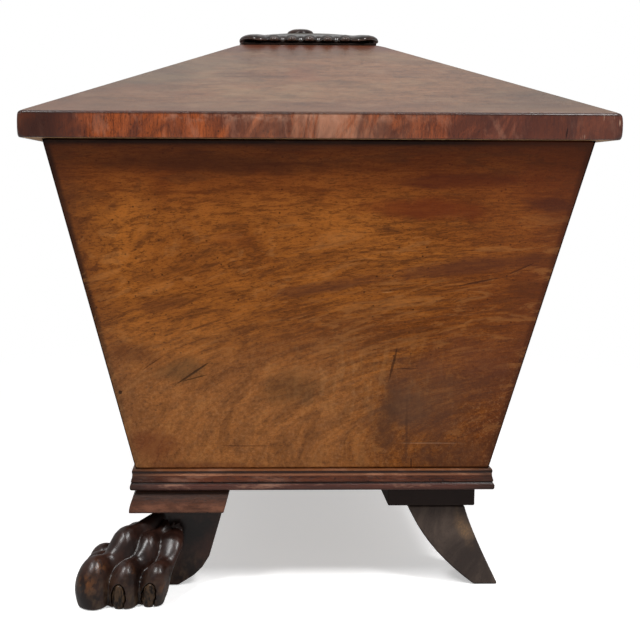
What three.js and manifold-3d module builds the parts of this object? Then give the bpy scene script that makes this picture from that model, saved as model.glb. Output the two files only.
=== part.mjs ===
// A sarcophagus-shaped cellarette: a tapering box on two carved paw feet and two sabre feet, with a
// hipped lid on butt hinges, a box lock, a zinc liner and a bottle rack. Millimetres, +Z up, origin on
// the floor below the middle of the box, front towards -Y.
import * as THREE from 'three';
import { mergeVertices } from 'three/addons/utils/BufferGeometryUtils.js';
import Module from 'manifold-3d';

const wasm = await Module();
wasm.setup();

// Driving dimensions: the lid
const LID_LENGTH = 820;
const LID_DEPTH = 560;
const LID_EDGE_HEIGHT = 23.4;
const LID_OVERHANG = 19.3;
const LID_SLOPE_RUN = 204.5;
const LID_SLOPE_RISE = 83.6;
const LID_BAND_THICKNESS = 3;
const LID_RAIL_WIDTH = 62;
const LID_BOARD_DEPTH = 16;

// Driving dimensions: the body and its base
const BODY_HEIGHT = 334.7;
const BODY_TAPER = 77.7;
const PANEL_THICKNESS = 16.4;
const MOULDING_HEIGHT = 21.6;
const MOULDING_REACH = 5.9;
const MOULDING_DEPTH = 20.6;
const GROOVE_DEPTH = 1.3;

// Driving dimensions: the feet and their blocks
const FOOT_HEIGHT = 86;
const BLOCK_HEIGHT = 23.6;
const FRONT_BLOCK_SIZE = 103.3;
const FRONT_BLOCK_BATTER = 6.8;
const OVOLO_REACH = 8;
const OVOLO_SETBACK = 6.9;
const WING_SETBACK = 26.3;
const WING_WIDTH = 70.2;
const PAW_REACH = 66.9;
const TOE_HALF_WIDTH = 17.8;
const SOLE_ROUND = 2;
const CLAW_HALF_WIDTH = 5.8;
const CLAW_HALF_DEPTH = 5;
const CLAW_HALF_HEIGHT = 13.5;
const CLAW_REACH = 12.6;
const BACK_BLOCK_WIDTH = 92;
const BACK_BLOCK_DEPTH = 66;
const BACK_BLOCK_SETBACK = 15.8;
const BACK_FOOT_SETBACK = 23.8;
const BACK_FOOT_THICKNESS = 54;
const BACK_FOOT_TOP_WIDTH = 60.1;
const BACK_FOOT_TOE_WIDTH = 25.8;
const BACK_FOOT_KICK = 37.4;
const BACK_FOOT_INSET = 26.3;

// Driving dimensions: the carved plate on the lid
const PLATE_OVERHANG = 1.5;
const PLATE_EDGE_HEIGHT = 7.7;
const PLATE_RISE = 29;
const PLATE_UNDERCUT = 4;
const PLATE_CORNER = 28;
const LOBE_DEPTH = 3.2;
const END_LOBES = 5;
const SIDE_LOBES = 15;
const PLINTH_INSET = 4.5;
const PLINTH_HEIGHT = 2.5;
const BOSS_RADIUS = 16.7;
const BOSS_HEIGHT = 9.5;

// Driving dimensions: liner and bottle rack
const LINER_THICKNESS = 2;
const LINER_DROP = 34;
const DIVIDER_THICKNESS = 8;
const DIVIDER_HEIGHT = 170;
const BOTTLE_ROWS = 3;
const BOTTLE_COLUMNS = 5;

// Driving dimensions: hinges and their screws
const HINGE_SETBACK = 120.7;
const HINGE_LENGTH = 64;
const HINGE_LEAF_WIDTH = 13;
const HINGE_LEAF_THICKNESS = 1.8;
const KNUCKLE_LENGTH = 21.4;
const KNUCKLE_RADIUS = 2.8;
const PIN_RADIUS = 1.4;
const PIN_CLEARANCE = 0.08;
const PIN_OFFSET = 1.8;
const SCREW_SPACING = 44;
const SCREW_HEAD_RADIUS = 2.6;
const SCREW_HEAD_HEIGHT = 1.4;
const SCREW_SHANK_RADIUS = 1.3;
const SCREW_LENGTH = 14;
const SCREW_SLOT = 0.6;

// Driving dimensions: the lock
const LOCK_LENGTH = 56;
const LOCK_THICKNESS = 11;
const LOCK_HEIGHT = 28;
const LOCK_WALL = 1.6;
const LOCK_SETBACK = 9.7;
const BOLT_LENGTH = 19.8;
const BOLT_HEIGHT = 6.6;
const BOLT_CLEARANCE = 0.4;
const BOLT_NOSE_LENGTH = 4.7;
const BOLT_NOSE_WIDTH = 2.8;
const BOLT_NOSE_HEIGHT = 3.4;
const BOLT_TRAVEL = 6;
const BOLT_END_GAP = 2;
const STAPLE_WIDTH = 6.4;
const STAPLE_LENGTH = 10.4;
const STAPLE_THICKNESS = 2.5;
const STAPLE_CLEARANCE = 0.9;
const EYE_CLEARANCE = 0.5;
const LINK_PLATE_LENGTH = 50;
const LINK_PLATE_WIDTH = 14;
const LINK_PLATE_THICKNESS = 2;
const KEYHOLE_DEPTH = 14;
const KEYHOLE_RADIUS = 2.2;
const KEYHOLE_SLOT = 2.2;
const KEYHOLE_DROP = 7;
const ESCUTCHEON_WIDTH = 16;
const ESCUTCHEON_HEIGHT = 24;
const ESCUTCHEON_THICKNESS = 1.5;

// Clearances shared by every joint between pieces, and one overrun for every cut
const JOINT_GAP = 0.3;
const OVERRUN = 5;

// Sizes that follow from the driving dimensions
const blockTop = FOOT_HEIGHT + BLOCK_HEIGHT;
const bodyBottom = blockTop + MOULDING_HEIGHT;
const rimHeight = bodyBottom + BODY_HEIGHT;
const lidBottom = rimHeight + JOINT_GAP;
const halfLid = new THREE.Vector2(LID_LENGTH / 2, LID_DEPTH / 2);
const halfRim = halfLid.clone().subScalar(LID_OVERHANG);
const halfBodyBottom = halfRim.clone().subScalar(BODY_TAPER);
const halfMoulding = halfBodyBottom.clone().addScalar(MOULDING_REACH);
const bodySlope = BODY_TAPER / BODY_HEIGHT;
const lidSlope = LID_SLOPE_RISE / LID_SLOPE_RUN;
const plateauHeight = LID_EDGE_HEIGHT + LID_SLOPE_RISE;

const finishes = {
  mahogany: { color: 0x7a4a26, roughness: 0.42, metalness: 0 },
  banding: { color: 0x6b3420, roughness: 0.38, metalness: 0 },
  moulding: { color: 0x4e271b, roughness: 0.4, metalness: 0 },
  carving: { color: 0x2c1a15, roughness: 0.3, metalness: 0 },
  plainFoot: { color: 0x322622, roughness: 0.6, metalness: 0 },
  innerWood: { color: 0x8b6a45, roughness: 0.7, metalness: 0 },
  zinc: { color: 0x8c9092, roughness: 0.55, metalness: 0.9 },
  brass: { color: 0xa9843f, roughness: 0.35, metalness: 1 },
  steel: { color: 0x77716a, roughness: 0.45, metalness: 1 },
};

const cellarette = new THREE.Group();
const carcass = new THREE.Group();
const lid = new THREE.Group();
cellarette.add(carcass, lid);

function addPiece(group, name, geometry, finish) {
  const material = new THREE.MeshStandardMaterial({ ...finishes[finish], flatShading: true });
  const mesh = new THREE.Mesh(geometry, material);
  mesh.name = name;
  group.add(mesh);
  return mesh;
}

// A closed geometry from corners and triangles, turned so that its faces point outwards
function closedGeometry(corners, triangles) {
  const volume = triangles.reduce((sum, [a, b, c]) => {
    const normal = new THREE.Vector3().crossVectors(corners[b], corners[c]);
    return sum + corners[a].dot(normal);
  }, 0);
  const facing = volume < 0 ? triangles.map(([a, b, c]) => [a, c, b]) : triangles;
  const geometry = new THREE.BufferGeometry().setFromPoints(corners);
  geometry.setIndex(facing.flat());
  return geometry;
}

// Skins a row of rings that have as many points each, and closes its ends. The ends are fans when no
// outline is given, and otherwise follow the outline's own triangles.
function loft(rings, outline) {
  const count = rings[0].length;
  const triangles = [];
  for (let ring = 0; ring < rings.length - 1; ring++) {
    for (let i = 0; i < count; i++) {
      const next = (i + 1) % count;
      const here = ring * count;
      const there = here + count;
      triangles.push([here + i, here + next, there + next], [here + i, there + next, there + i]);
    }
  }
  const turns = rings[0].map((corner, i) => i / count * 2 * Math.PI);
  const flat = (outline ?? turns.map((turn) => [Math.cos(turn), Math.sin(turn)]))
    .map(([across, up]) => new THREE.Vector2(across, up));
  const last = (rings.length - 1) * count;
  for (const triangle of THREE.ShapeUtils.triangulateShape(flat, [])) {
    const [a, b, c] = triangle.sort((first, second) => first - second);
    triangles.push([a, c, b], [last + a, last + b, last + c]);
  }
  return closedGeometry(rings.flat(), triangles);
}

function toSolid(geometry) {
  const bare = geometry.clone();
  bare.deleteAttribute('normal');
  bare.deleteAttribute('uv');
  const merged = mergeVertices(bare);
  return new wasm.Manifold(new wasm.Mesh({
    numProp: 3,
    vertProperties: new Float32Array(merged.attributes.position.array),
    triVerts: new Uint32Array(merged.index.array),
  }));
}

function toGeometry(solid) {
  const mesh = solid.getMesh();
  const geometry = new THREE.BufferGeometry();
  geometry.setAttribute('position', new THREE.BufferAttribute(mesh.vertProperties, 3));
  geometry.setIndex(new THREE.BufferAttribute(mesh.triVerts, 1));
  return geometry;
}

// A box between two corners, [x, y, z] each
function boxBetween(low, high) {
  const size = high.map((value, i) => value - low[i]);
  const geometry = new THREE.BoxGeometry(...size);
  return geometry.translate(...low.map((value, i) => value + size[i] / 2));
}

// A cylinder lying along X between two places
const ROD_SIDES = 12;
function rodAlongX(radius, from, to, y, z) {
  const rod = new THREE.CylinderGeometry(radius, radius, to - from, ROD_SIDES);
  return rod.rotateZ(Math.PI / 2).translate((from + to) / 2, y, z);
}

// A rectangle at one height, as a ring of four corners
function rectangle(lowX, highX, lowY, highY, z) {
  return [[lowX, lowY], [highX, lowY], [highX, highY], [lowX, highY]]
    .map(([x, y]) => new THREE.Vector3(x, y, z));
}

function centredRectangle(half, z) {
  return rectangle(-half.x, half.x, -half.y, half.y, z);
}

// The four sides of the box, each named, with the turn that brings a side built at +X to its place
const sides = [
  { name: 'right', turn: 0 },
  { name: 'back', turn: Math.PI / 2 },
  { name: 'left', turn: Math.PI },
  { name: 'front', turn: -Math.PI / 2 },
];

// One side of a mitred frame. The outline's points are [inset from the frame's outer face, height].
function mitredSide(outline, half, turn) {
  const endOn = turn === 0 || turn === Math.PI;
  const out = endOn ? half.x : half.y;
  const along = endOn ? half.y : half.x;
  const end = (sign) => outline.map(([inset, height]) => new THREE.Vector3(out - inset,
    sign * (along - inset - JOINT_GAP / 2), height));
  return loft([end(-1), end(1)], outline).rotateZ(turn);
}

// The keyhole, as an outline round its pivot
function keyholePath() {
  const path = new THREE.Path();
  const slotAngle = Math.asin(KEYHOLE_SLOT / 2 / KEYHOLE_RADIUS);
  path.absarc(0, 0, KEYHOLE_RADIUS, -Math.PI / 2 + slotAngle, Math.PI * 3 / 2 - slotAngle, false);
  path.lineTo(-KEYHOLE_SLOT / 2, -KEYHOLE_DROP);
  path.lineTo(KEYHOLE_SLOT / 2, -KEYHOLE_DROP);
  return path;
}

// The keyhole as a solid that runs along Y from the outside inwards
function keyholeCutter(fromY, toY) {
  const shape = new THREE.Shape(keyholePath().getPoints(4));
  const cutter = new THREE.ExtrudeGeometry(shape, { depth: toY - fromY, bevelEnabled: false });
  return cutter.rotateX(Math.PI / 2).translate(0, toY, rimHeight - KEYHOLE_DEPTH);
}

// Countersunk screw with a slotted head, its head's face at zero and its point downwards
const SCREW_SIDES = 10;
function screwProfile(clearance) {
  const head = SCREW_HEAD_RADIUS + clearance;
  const shank = SCREW_SHANK_RADIUS + clearance;
  return [
    [0, -SCREW_LENGTH - clearance],
    [shank, -SCREW_LENGTH + SCREW_SHANK_RADIUS - clearance],
    [shank, -SCREW_HEAD_HEIGHT - clearance],
    [head, 0],
    [0, 0],
  ].map(([radius, height]) => new THREE.Vector2(radius, height));
}

function screwHole() {
  const neck = screwProfile(JOINT_GAP / 2);
  const mouth = SCREW_HEAD_RADIUS + JOINT_GAP / 2;
  neck.splice(-1, 1, new THREE.Vector2(mouth, OVERRUN), new THREE.Vector2(0, OVERRUN));
  return new THREE.LatheGeometry(neck, SCREW_SIDES).rotateX(Math.PI / 2);
}

function screw() {
  const blank = toSolid(new THREE.LatheGeometry(screwProfile(0), SCREW_SIDES).rotateX(Math.PI / 2));
  const slot = boxBetween([-SCREW_SLOT / 2, -SCREW_HEAD_RADIUS - OVERRUN, -SCREW_SLOT],
    [SCREW_SLOT / 2, SCREW_HEAD_RADIUS + OVERRUN, OVERRUN]);
  return toGeometry(blank.subtract(toSolid(slot)));
}

// Where the hinges and their screws sit
const pinY = halfRim.y + PIN_OFFSET;
const pinZ = rimHeight + JOINT_GAP / 2;
const leafInnerY = halfRim.y - HINGE_LEAF_WIDTH + PIN_OFFSET;
const screwY = (leafInnerY + pinY - KNUCKLE_RADIUS) / 2;
const hinges = [
  { name: 'left', x: HINGE_SETBACK - halfRim.x },
  { name: 'right', x: halfRim.x - HINGE_SETBACK },
];
const screwPlaces = hinges.flatMap(({ x }) => [x - SCREW_SPACING / 2, x + SCREW_SPACING / 2]);

// The hole that a leaf, its knuckles and its screws need. Up is 1 for the lid's side, -1 for the body's.
function cutHingeSeat(solid, up) {
  const face = up > 0 ? lidBottom : rimHeight;
  let cut = solid;
  for (const { x } of hinges) {
    const reach = HINGE_LENGTH / 2 + JOINT_GAP;
    const deep = face + up * (HINGE_LEAF_THICKNESS + JOINT_GAP);
    const open = face - up * OVERRUN;
    cut = cut.subtract(toSolid(boxBetween(
      [x - reach, leafInnerY - JOINT_GAP, Math.min(deep, open)],
      [x + reach, pinY, Math.max(deep, open)])));
    cut = cut.subtract(toSolid(rodAlongX(KNUCKLE_RADIUS + 2 * JOINT_GAP, x - reach, x + reach, pinY, pinZ)));
  }
  for (const x of screwPlaces) {
    const hole = screwHole();
    if (up > 0) hole.rotateX(Math.PI);
    cut = cut.subtract(toSolid(hole.translate(x, screwY, face)));
  }
  return cut;
}

// Body panels: tapering boards with mitred corners
function bodyInset(z) {
  return (rimHeight - z) * bodySlope;
}

const panelFoot = bodyBottom + JOINT_GAP;
const panelOutline = [
  [bodyInset(panelFoot), panelFoot],
  [0, rimHeight],
  [PANEL_THICKNESS, rimHeight],
  [PANEL_THICKNESS + bodyInset(panelFoot), panelFoot],
];

// The lock's own places: the case is upright, with its top flush with the rim
const lockFront = -halfRim.y + LOCK_SETBACK;
const lockBack = lockFront + LOCK_THICKNESS;
const lockY = (lockFront + lockBack) / 2;
const boltTop = rimHeight - LOCK_WALL - BOLT_CLEARANCE;
const boltEnd = BOLT_END_GAP;
const noseEnd = boltEnd + BOLT_NOSE_LENGTH;
const stapleStart = noseEnd + BOLT_END_GAP;
const stapleEnd = stapleStart + STAPLE_THICKNESS;

for (const { name, turn } of sides) {
  let panel = toSolid(mitredSide(panelOutline, halfRim, turn));
  if (name === 'back') panel = cutHingeSeat(panel, -1);
  if (name === 'front') {
    panel = panel.subtract(toSolid(boxBetween(
      [-LOCK_LENGTH / 2 - JOINT_GAP, lockFront - JOINT_GAP, rimHeight - LOCK_HEIGHT - JOINT_GAP],
      [LOCK_LENGTH / 2 + JOINT_GAP, lockBack + PANEL_THICKNESS, rimHeight + OVERRUN])));
    panel = panel.subtract(toSolid(keyholeCutter(-halfRim.y - OVERRUN, lockFront + OVERRUN)));
  }
  addPiece(carcass, `${name}_panel`, toGeometry(panel), 'mahogany');
}

// Base moulding: fillet, hollowed band, groove and rounded lower fascia, as shares of reach and height
const bandFootShare = 0.84;
const mouldingShares = [
  [0, 1], [0.52, 1], [0.64, 0.94], [0.64, 0.84], [0.56, 0.79], [0.62, 0.62], [0.8, 0.45],
  [bandFootShare, 0.4], [bandFootShare - GROOVE_DEPTH / MOULDING_REACH, 0.35], [bandFootShare, 0.3],
  [1, 0.2], [1, 0.08], [0.86, 0],
];
const mouldingOutline = mouldingShares.map(([reachShare, heightShare]) =>
  [MOULDING_REACH * (1 - reachShare), blockTop + heightShare * MOULDING_HEIGHT]);
mouldingOutline.push([MOULDING_DEPTH, blockTop], [MOULDING_DEPTH, bodyBottom]);
for (const { name, turn } of sides) {
  addPiece(carcass, `base_moulding_${name}`, mitredSide(mouldingOutline, halfMoulding, turn), 'moulding');
}

const halfBottomBoard = halfMoulding.clone().subScalar(MOULDING_DEPTH + JOINT_GAP);
addPiece(carcass, 'bottom_board', boxBetween([-halfBottomBoard.x, -halfBottomBoard.y, blockTop],
  [halfBottomBoard.x, halfBottomBoard.y, bodyBottom]), 'innerWood');

// Front foot blocks: an ovolo on the two outer faces, and a batter on the two inner ones
const OVOLO_STEPS = 6;
function frontBlock(side) {
  const rings = [];
  for (let step = 0; step <= OVOLO_STEPS; step++) {
    const drop = step / OVOLO_STEPS;
    const z = blockTop - JOINT_GAP - drop * (BLOCK_HEIGHT - JOINT_GAP);
    const out = OVOLO_REACH * Math.sin(drop * Math.PI / 2) - OVOLO_SETBACK;
    const inner = FRONT_BLOCK_SIZE - FRONT_BLOCK_BATTER * drop;
    rings.push(rectangle(side * (halfMoulding.x - inner), side * (halfMoulding.x + out),
      -halfMoulding.y - out, -halfMoulding.y + inner, z));
  }
  return loft(rings);
}

function backBlock(side) {
  const faceX = side * (halfMoulding.x - BACK_FOOT_SETBACK);
  const innerX = faceX - side * BACK_BLOCK_DEPTH;
  const backY = halfMoulding.y - BACK_BLOCK_SETBACK;
  const levels = [FOOT_HEIGHT + JOINT_GAP, blockTop - JOINT_GAP];
  return loft(levels.map((z) => rectangle(innerX, faceX, backY - BACK_BLOCK_WIDTH, backY, z)));
}

// Paw feet. A paw stands on the diagonal of its corner: u runs outwards from the moulding's corner and
// v across, and both are shares of the paw's reach.
function pawPoint(side, u, v, z) {
  const x = halfMoulding.x + (u + v) / Math.SQRT2;
  const y = -halfMoulding.y + (v - u) / Math.SQRT2;
  return new THREE.Vector3(side * x, y, z);
}

// Three places on the line of each toe, from the ankle to the tip, its fullness, how much lower than the
// middle toe its tip is, how far its ankle is hollowed from below, and how far its claw turns outwards
const toePathShares = [
  { path: [[-0.761, 0], [0.15, 0], [1, 0]], fullnessShare: 1, dropShare: 0, hollowShare: 0, clawTurn: 0 },
  { path: [[-0.592, 0.18], [-0.003, 0.21], [0.628, 0.423]],
    fullnessShare: 0.92, dropShare: 0.1, hollowShare: 0, clawTurn: 0.2 },
  { path: [[-0.681, 0.295], [-0.296, 0.565], [0.264, 0.745]],
    fullnessShare: 0.9, dropShare: 0.14, hollowShare: 1, clawTurn: 0.2 },
];

// Sections down a toe: how far back from the tip as a share of the reach, its top and its sole as shares
// of the foot's height, and its half width as a share of the toe's. The crest near the middle is the
// knuckle, and the widest place is the bulb above the claw.
const toeSectionShares = [
  [1.7, 0.975, 0, 0.52], [1.42, 0.92, 0, 0.55], [1.16, 0.86, 0, 0.63], [0.985, 0.845, 0, 0.73],
  [0.85, 0.82, 0, 0.8], [0.76, 0.795, 0, 0.83], [0.67, 0.74, 0, 0.82], [0.585, 0.68, 0, 0.79],
  [0.495, 0.635, 0, 0.79], [0.4, 0.612, 0, 0.87], [0.3, 0.597, 0, 0.97], [0.225, 0.577, 0, 1],
  [0.15, 0.537, 0.006, 0.9], [0.082, 0.47, 0.046, 0.71], [0.03, 0.39, 0.128, 0.44],
  [0.006, 0.315, 0.21, 0.2],
];
const ANKLE_BACK_SHARE = 1.7;
const SHIN_BACK_SHARE = 1.179;
const PAD_BACK_SHARE = 0.307;
const PAD_NARROWING = 0.202;
const PAD_CORNER_SHARE = 0.435;
const ANKLE_SOLE_SHARE = 0.511;
const BULB_BACK_SHARE = 0.25;
const CLAW_TILT = 0.2;
const TOE_ARC_STEPS = 6;

function toe(side, mirror, { path, fullnessShare, dropShare, hollowShare }) {
  const line = new THREE.QuadraticBezierCurve(...path.map(([u, v]) =>
    new THREE.Vector2(u * PAW_REACH, mirror * v * PAW_REACH)));
  const rings = toeSectionShares.map(([backShare, topShare, soleShare, widthShare]) => {
    const along = Math.max(0, 1 - backShare * fullnessShare * PAW_REACH / line.getLength());
    const centre = line.getPointAt(along);
    const across = line.getTangentAt(along).rotateAround(new THREE.Vector2(), Math.PI / 2);
    const half = TOE_HALF_WIDTH * fullnessShare * widthShare;
    const lowered = 1 - dropShare
      * Math.min(1, (ANKLE_BACK_SHARE - backShare) / (ANKLE_BACK_SHARE - SHIN_BACK_SHARE));
    const behind = Math.max(0, (backShare - PAD_BACK_SHARE) / (ANKLE_BACK_SHARE - PAD_BACK_SHARE));
    const hollow = hollowShare * ANKLE_SOLE_SHARE * Math.sqrt(behind);
    const top = FOOT_HEIGHT * topShare * lowered - JOINT_GAP;
    const sole = FOOT_HEIGHT * (soleShare + hollow) - SOLE_ROUND;
    const crown = Math.min(half, (top - sole) / 2);
    const corner = crown * PAD_CORNER_SHARE;
    const arc = Array.from({ length: TOE_ARC_STEPS + 1 }, (_, i) => i / TOE_ARC_STEPS * Math.PI);
    const above = arc.map((turn) => [half * Math.cos(turn), top - crown * (1 - Math.sin(turn))]);
    const below = arc.map((turn) => [-half * Math.cos(turn) * (1 - PAD_NARROWING * Math.sin(turn)),
      sole + corner * (1 - Math.sin(turn))]);
    return [...above, ...below].map(([offset, z]) =>
      pawPoint(side, centre.x + across.x * offset, centre.y + across.y * offset, z));
  });
  return toSolid(loft(rings));
}

function claw(side, mirror, { path, fullnessShare, clawTurn }) {
  const [, knuckle, tip] = path.map(([u, v]) => new THREE.Vector2(u, mirror * v).multiplyScalar(PAW_REACH));
  const ahead = tip.clone().sub(knuckle).normalize();
  const bulb = tip.clone().addScaledVector(ahead, -BULB_BACK_SHARE * fullnessShare * PAW_REACH);
  const facing = ahead.rotateAround(new THREE.Vector2(), mirror * clawTurn);
  const centre = bulb.addScaledVector(facing, CLAW_REACH * fullnessShare);
  const seat = pawPoint(side, centre.x, centre.y, CLAW_HALF_HEIGHT - SOLE_ROUND);
  const forward = pawPoint(side, centre.x + facing.x, centre.y + facing.y, seat.z).sub(seat);
  const nail = new THREE.SphereGeometry(1, 8, 6);
  nail.rotateX(Math.PI / 2).scale(CLAW_HALF_DEPTH, CLAW_HALF_WIDTH, CLAW_HALF_HEIGHT).rotateY(CLAW_TILT);
  return toSolid(nail.rotateZ(Math.atan2(forward.y, forward.x)).translate(seat.x, seat.y, seat.z));
}

// The wing is the flat-sided block behind the paw, its width at each height as a share of the top's
const wingShares = [[0, 0.31], [0.062, 0.433], [0.126, 0.554], [0.227, 0.677], [0.366, 0.782],
  [0.63, 0.873], [1, 1]];

function wing(side) {
  const faceX = halfMoulding.x - WING_SETBACK;
  const faceY = -halfMoulding.y + WING_SETBACK;
  const height = FOOT_HEIGHT - JOINT_GAP;
  return toSolid(loft(wingShares.map(([heightShare, widthShare]) => rectangle(side * faceX,
    side * (faceX - WING_WIDTH * widthShare), faceY, faceY + WING_WIDTH * widthShare,
    heightShare * height))));
}

function pawFoot(side) {
  let foot = wing(side);
  toePathShares.forEach((share, i) => {
    for (const mirror of i === 0 ? [1] : [-1, 1]) {
      foot = foot.add(toe(side, mirror, share)).add(claw(side, mirror, share));
    }
  });
  const reach = halfMoulding.x + PAW_REACH + OVERRUN;
  const below = boxBetween([-reach, -reach, -FOOT_HEIGHT], [reach, reach, 0]);
  return toGeometry(foot.subtract(toSolid(below)));
}

// Sabre feet: cut from a flat board, kicking out to the back. Outline seen from the end, with the place
// of each edge's bend as a share of its kick and of the height.
const innerBendShare = { kick: 0.27, height: 0.45 };
const outerBendShare = { kick: 0.16, height: 0.72 };

function sabreFoot(side) {
  const top = FOOT_HEIGHT;
  const outerTop = halfMoulding.y - BACK_FOOT_INSET;
  const innerTop = outerTop - BACK_FOOT_TOP_WIDTH;
  const outerToe = outerTop + BACK_FOOT_KICK;
  const innerToe = outerToe - BACK_FOOT_TOE_WIDTH;
  const bend = (from, to, { kick, height }) => [from + (to - from) * kick, top * height];
  const outline = new THREE.Shape();
  outline.moveTo(innerTop, top);
  outline.quadraticCurveTo(...bend(innerTop, innerToe, innerBendShare), innerToe, 0);
  outline.lineTo(outerToe, 0);
  outline.quadraticCurveTo(...bend(outerTop, outerToe, outerBendShare), outerTop, top);
  const board = new THREE.ExtrudeGeometry(outline,
    { depth: BACK_FOOT_THICKNESS, bevelEnabled: false, curveSegments: 9 });
  const faceX = halfMoulding.x - BACK_FOOT_SETBACK;
  const startX = side > 0 ? faceX - BACK_FOOT_THICKNESS : -faceX;
  return board.rotateY(Math.PI / 2).rotateX(Math.PI / 2).translate(startX, 0, 0);
}

for (const { name, side } of [{ name: 'left', side: -1 }, { name: 'right', side: 1 }]) {
  addPiece(carcass, `front_foot_block_${name}`, frontBlock(side), 'moulding');
  addPiece(carcass, `back_foot_block_${name}`, backBlock(side), 'plainFoot');
  addPiece(carcass, `paw_foot_${name}`, pawFoot(side), 'carving');
  addPiece(carcass, `sabre_foot_${name}`, sabreFoot(side), 'plainFoot');
}

// Zinc liner: a tray that follows the tapering panels inside
function insideRing(z, inset) {
  const half = halfRim.clone().subScalar(PANEL_THICKNESS + JOINT_GAP + inset + bodyInset(z));
  return centredRectangle(half, z);
}

const linerBottom = bodyBottom + JOINT_GAP;
const linerFloor = linerBottom + LINER_THICKNESS;
const linerTop = rimHeight - LINER_DROP;
const linerOutside = toSolid(loft([insideRing(linerBottom, 0), insideRing(linerTop, 0)]));
const linerInside = toSolid(loft([insideRing(linerFloor, LINER_THICKNESS),
  insideRing(linerTop + OVERRUN, LINER_THICKNESS)]));
addPiece(carcass, 'zinc_liner', toGeometry(linerOutside.subtract(linerInside)), 'zinc');

// Bottle rack: boards halved together, long ones notched from above and cross ones from below
const rackBottom = linerFloor + JOINT_GAP;
const rackTop = rackBottom + DIVIDER_HEIGHT;
const rackMiddle = (rackBottom + rackTop) / 2;
const [, , rackCorner] = insideRing(linerFloor, LINER_THICKNESS);
const rowPitch = 2 * rackCorner.y / BOTTLE_ROWS;
const columnPitch = 2 * rackCorner.x / BOTTLE_COLUMNS;
const rowPlaces = Array.from({ length: BOTTLE_ROWS - 1 }, (_, i) => (i + 1) * rowPitch - rackCorner.y);
const columnPlaces = Array.from({ length: BOTTLE_COLUMNS - 1 },
  (_, i) => (i + 1) * columnPitch - rackCorner.x);
const notchHalf = DIVIDER_THICKNESS / 2 + JOINT_GAP;

function dividerReach(z) {
  return insideRing(z, LINER_THICKNESS + 2 * JOINT_GAP)[2];
}

rowPlaces.forEach((y, i) => {
  let board = toSolid(loft([rackBottom, rackTop].map((z) => rectangle(-dividerReach(z).x,
    dividerReach(z).x, y - DIVIDER_THICKNESS / 2, y + DIVIDER_THICKNESS / 2, z))));
  for (const x of columnPlaces) {
    board = board.subtract(toSolid(boxBetween([x - notchHalf, y - DIVIDER_THICKNESS,
      rackMiddle - JOINT_GAP / 2], [x + notchHalf, y + DIVIDER_THICKNESS, rackTop + OVERRUN])));
  }
  addPiece(carcass, `bottle_divider_long_${i + 1}`, toGeometry(board), 'innerWood');
});

columnPlaces.forEach((x, i) => {
  let board = toSolid(loft([rackBottom, rackTop].map((z) => rectangle(x - DIVIDER_THICKNESS / 2,
    x + DIVIDER_THICKNESS / 2, -dividerReach(z).y, dividerReach(z).y, z))));
  for (const y of rowPlaces) {
    board = board.subtract(toSolid(boxBetween([x - DIVIDER_THICKNESS, y - notchHalf,
      rackBottom - OVERRUN], [x + DIVIDER_THICKNESS, y + notchHalf, rackMiddle + JOINT_GAP / 2])));
  }
  addPiece(carcass, `bottle_divider_cross_${i + 1}`, toGeometry(board), 'innerWood');
});

// Lock case: hollow for the bolt and the key, open above where the staple comes down
const cavityHalf = STAPLE_WIDTH / 2 + STAPLE_CLEARANCE;
const boltFoot = boltTop - BOLT_HEIGHT;
const boltMiddle = (boltTop + boltFoot) / 2;
const stapleFoot = lidBottom - STAPLE_LENGTH;
const boltStart = boltEnd - BOLT_LENGTH;

function lockCavity(fromX, toX, lowZ, highZ) {
  return toSolid(boxBetween([fromX, lockY - cavityHalf, lowZ], [toX, lockY + cavityHalf, highZ]));
}

const lockBlock = boxBetween([-LOCK_LENGTH / 2, lockFront, rimHeight - LOCK_HEIGHT],
  [LOCK_LENGTH / 2, lockBack, rimHeight]);
const lockCase = toSolid(lockBlock)
  .subtract(lockCavity(boltStart - BOLT_CLEARANCE, noseEnd + BOLT_TRAVEL + BOLT_CLEARANCE,
    boltFoot - BOLT_CLEARANCE, rimHeight - LOCK_WALL))
  .subtract(lockCavity(stapleStart - STAPLE_CLEARANCE, stapleEnd + STAPLE_CLEARANCE,
    stapleFoot - STAPLE_CLEARANCE, rimHeight + OVERRUN))
  .subtract(lockCavity(-KEYHOLE_DROP, KEYHOLE_DROP, rimHeight - LOCK_HEIGHT + LOCK_WALL, boltMiddle))
  .subtract(toSolid(keyholeCutter(lockFront - OVERRUN, lockY)));
addPiece(carcass, 'lock_case', toGeometry(lockCase), 'steel');

// Lock bolt: a block with a nose, and a notch below for the key
const BOLT_NOTCH_SHARE = 0.33;
const boltHalf = cavityHalf - BOLT_CLEARANCE;
const boltNotch = BOLT_NOTCH_SHARE * BOLT_HEIGHT;
const bolt = toSolid(boxBetween([boltStart, lockY - boltHalf, boltFoot],
  [boltEnd, lockY + boltHalf, boltTop]))
  .add(toSolid(boxBetween(
    [boltEnd - BOLT_END_GAP, lockY - BOLT_NOSE_WIDTH / 2, boltMiddle - BOLT_NOSE_HEIGHT / 2],
    [noseEnd, lockY + BOLT_NOSE_WIDTH / 2, boltMiddle + BOLT_NOSE_HEIGHT / 2])))
  .subtract(toSolid(boxBetween([boltStart + boltNotch, lockY - boltHalf - OVERRUN, boltFoot - OVERRUN],
    [boltStart + BOLT_LENGTH / 2, lockY + boltHalf + OVERRUN, boltFoot + boltNotch])));
addPiece(carcass, 'lock_bolt', toGeometry(bolt), 'brass');

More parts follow.
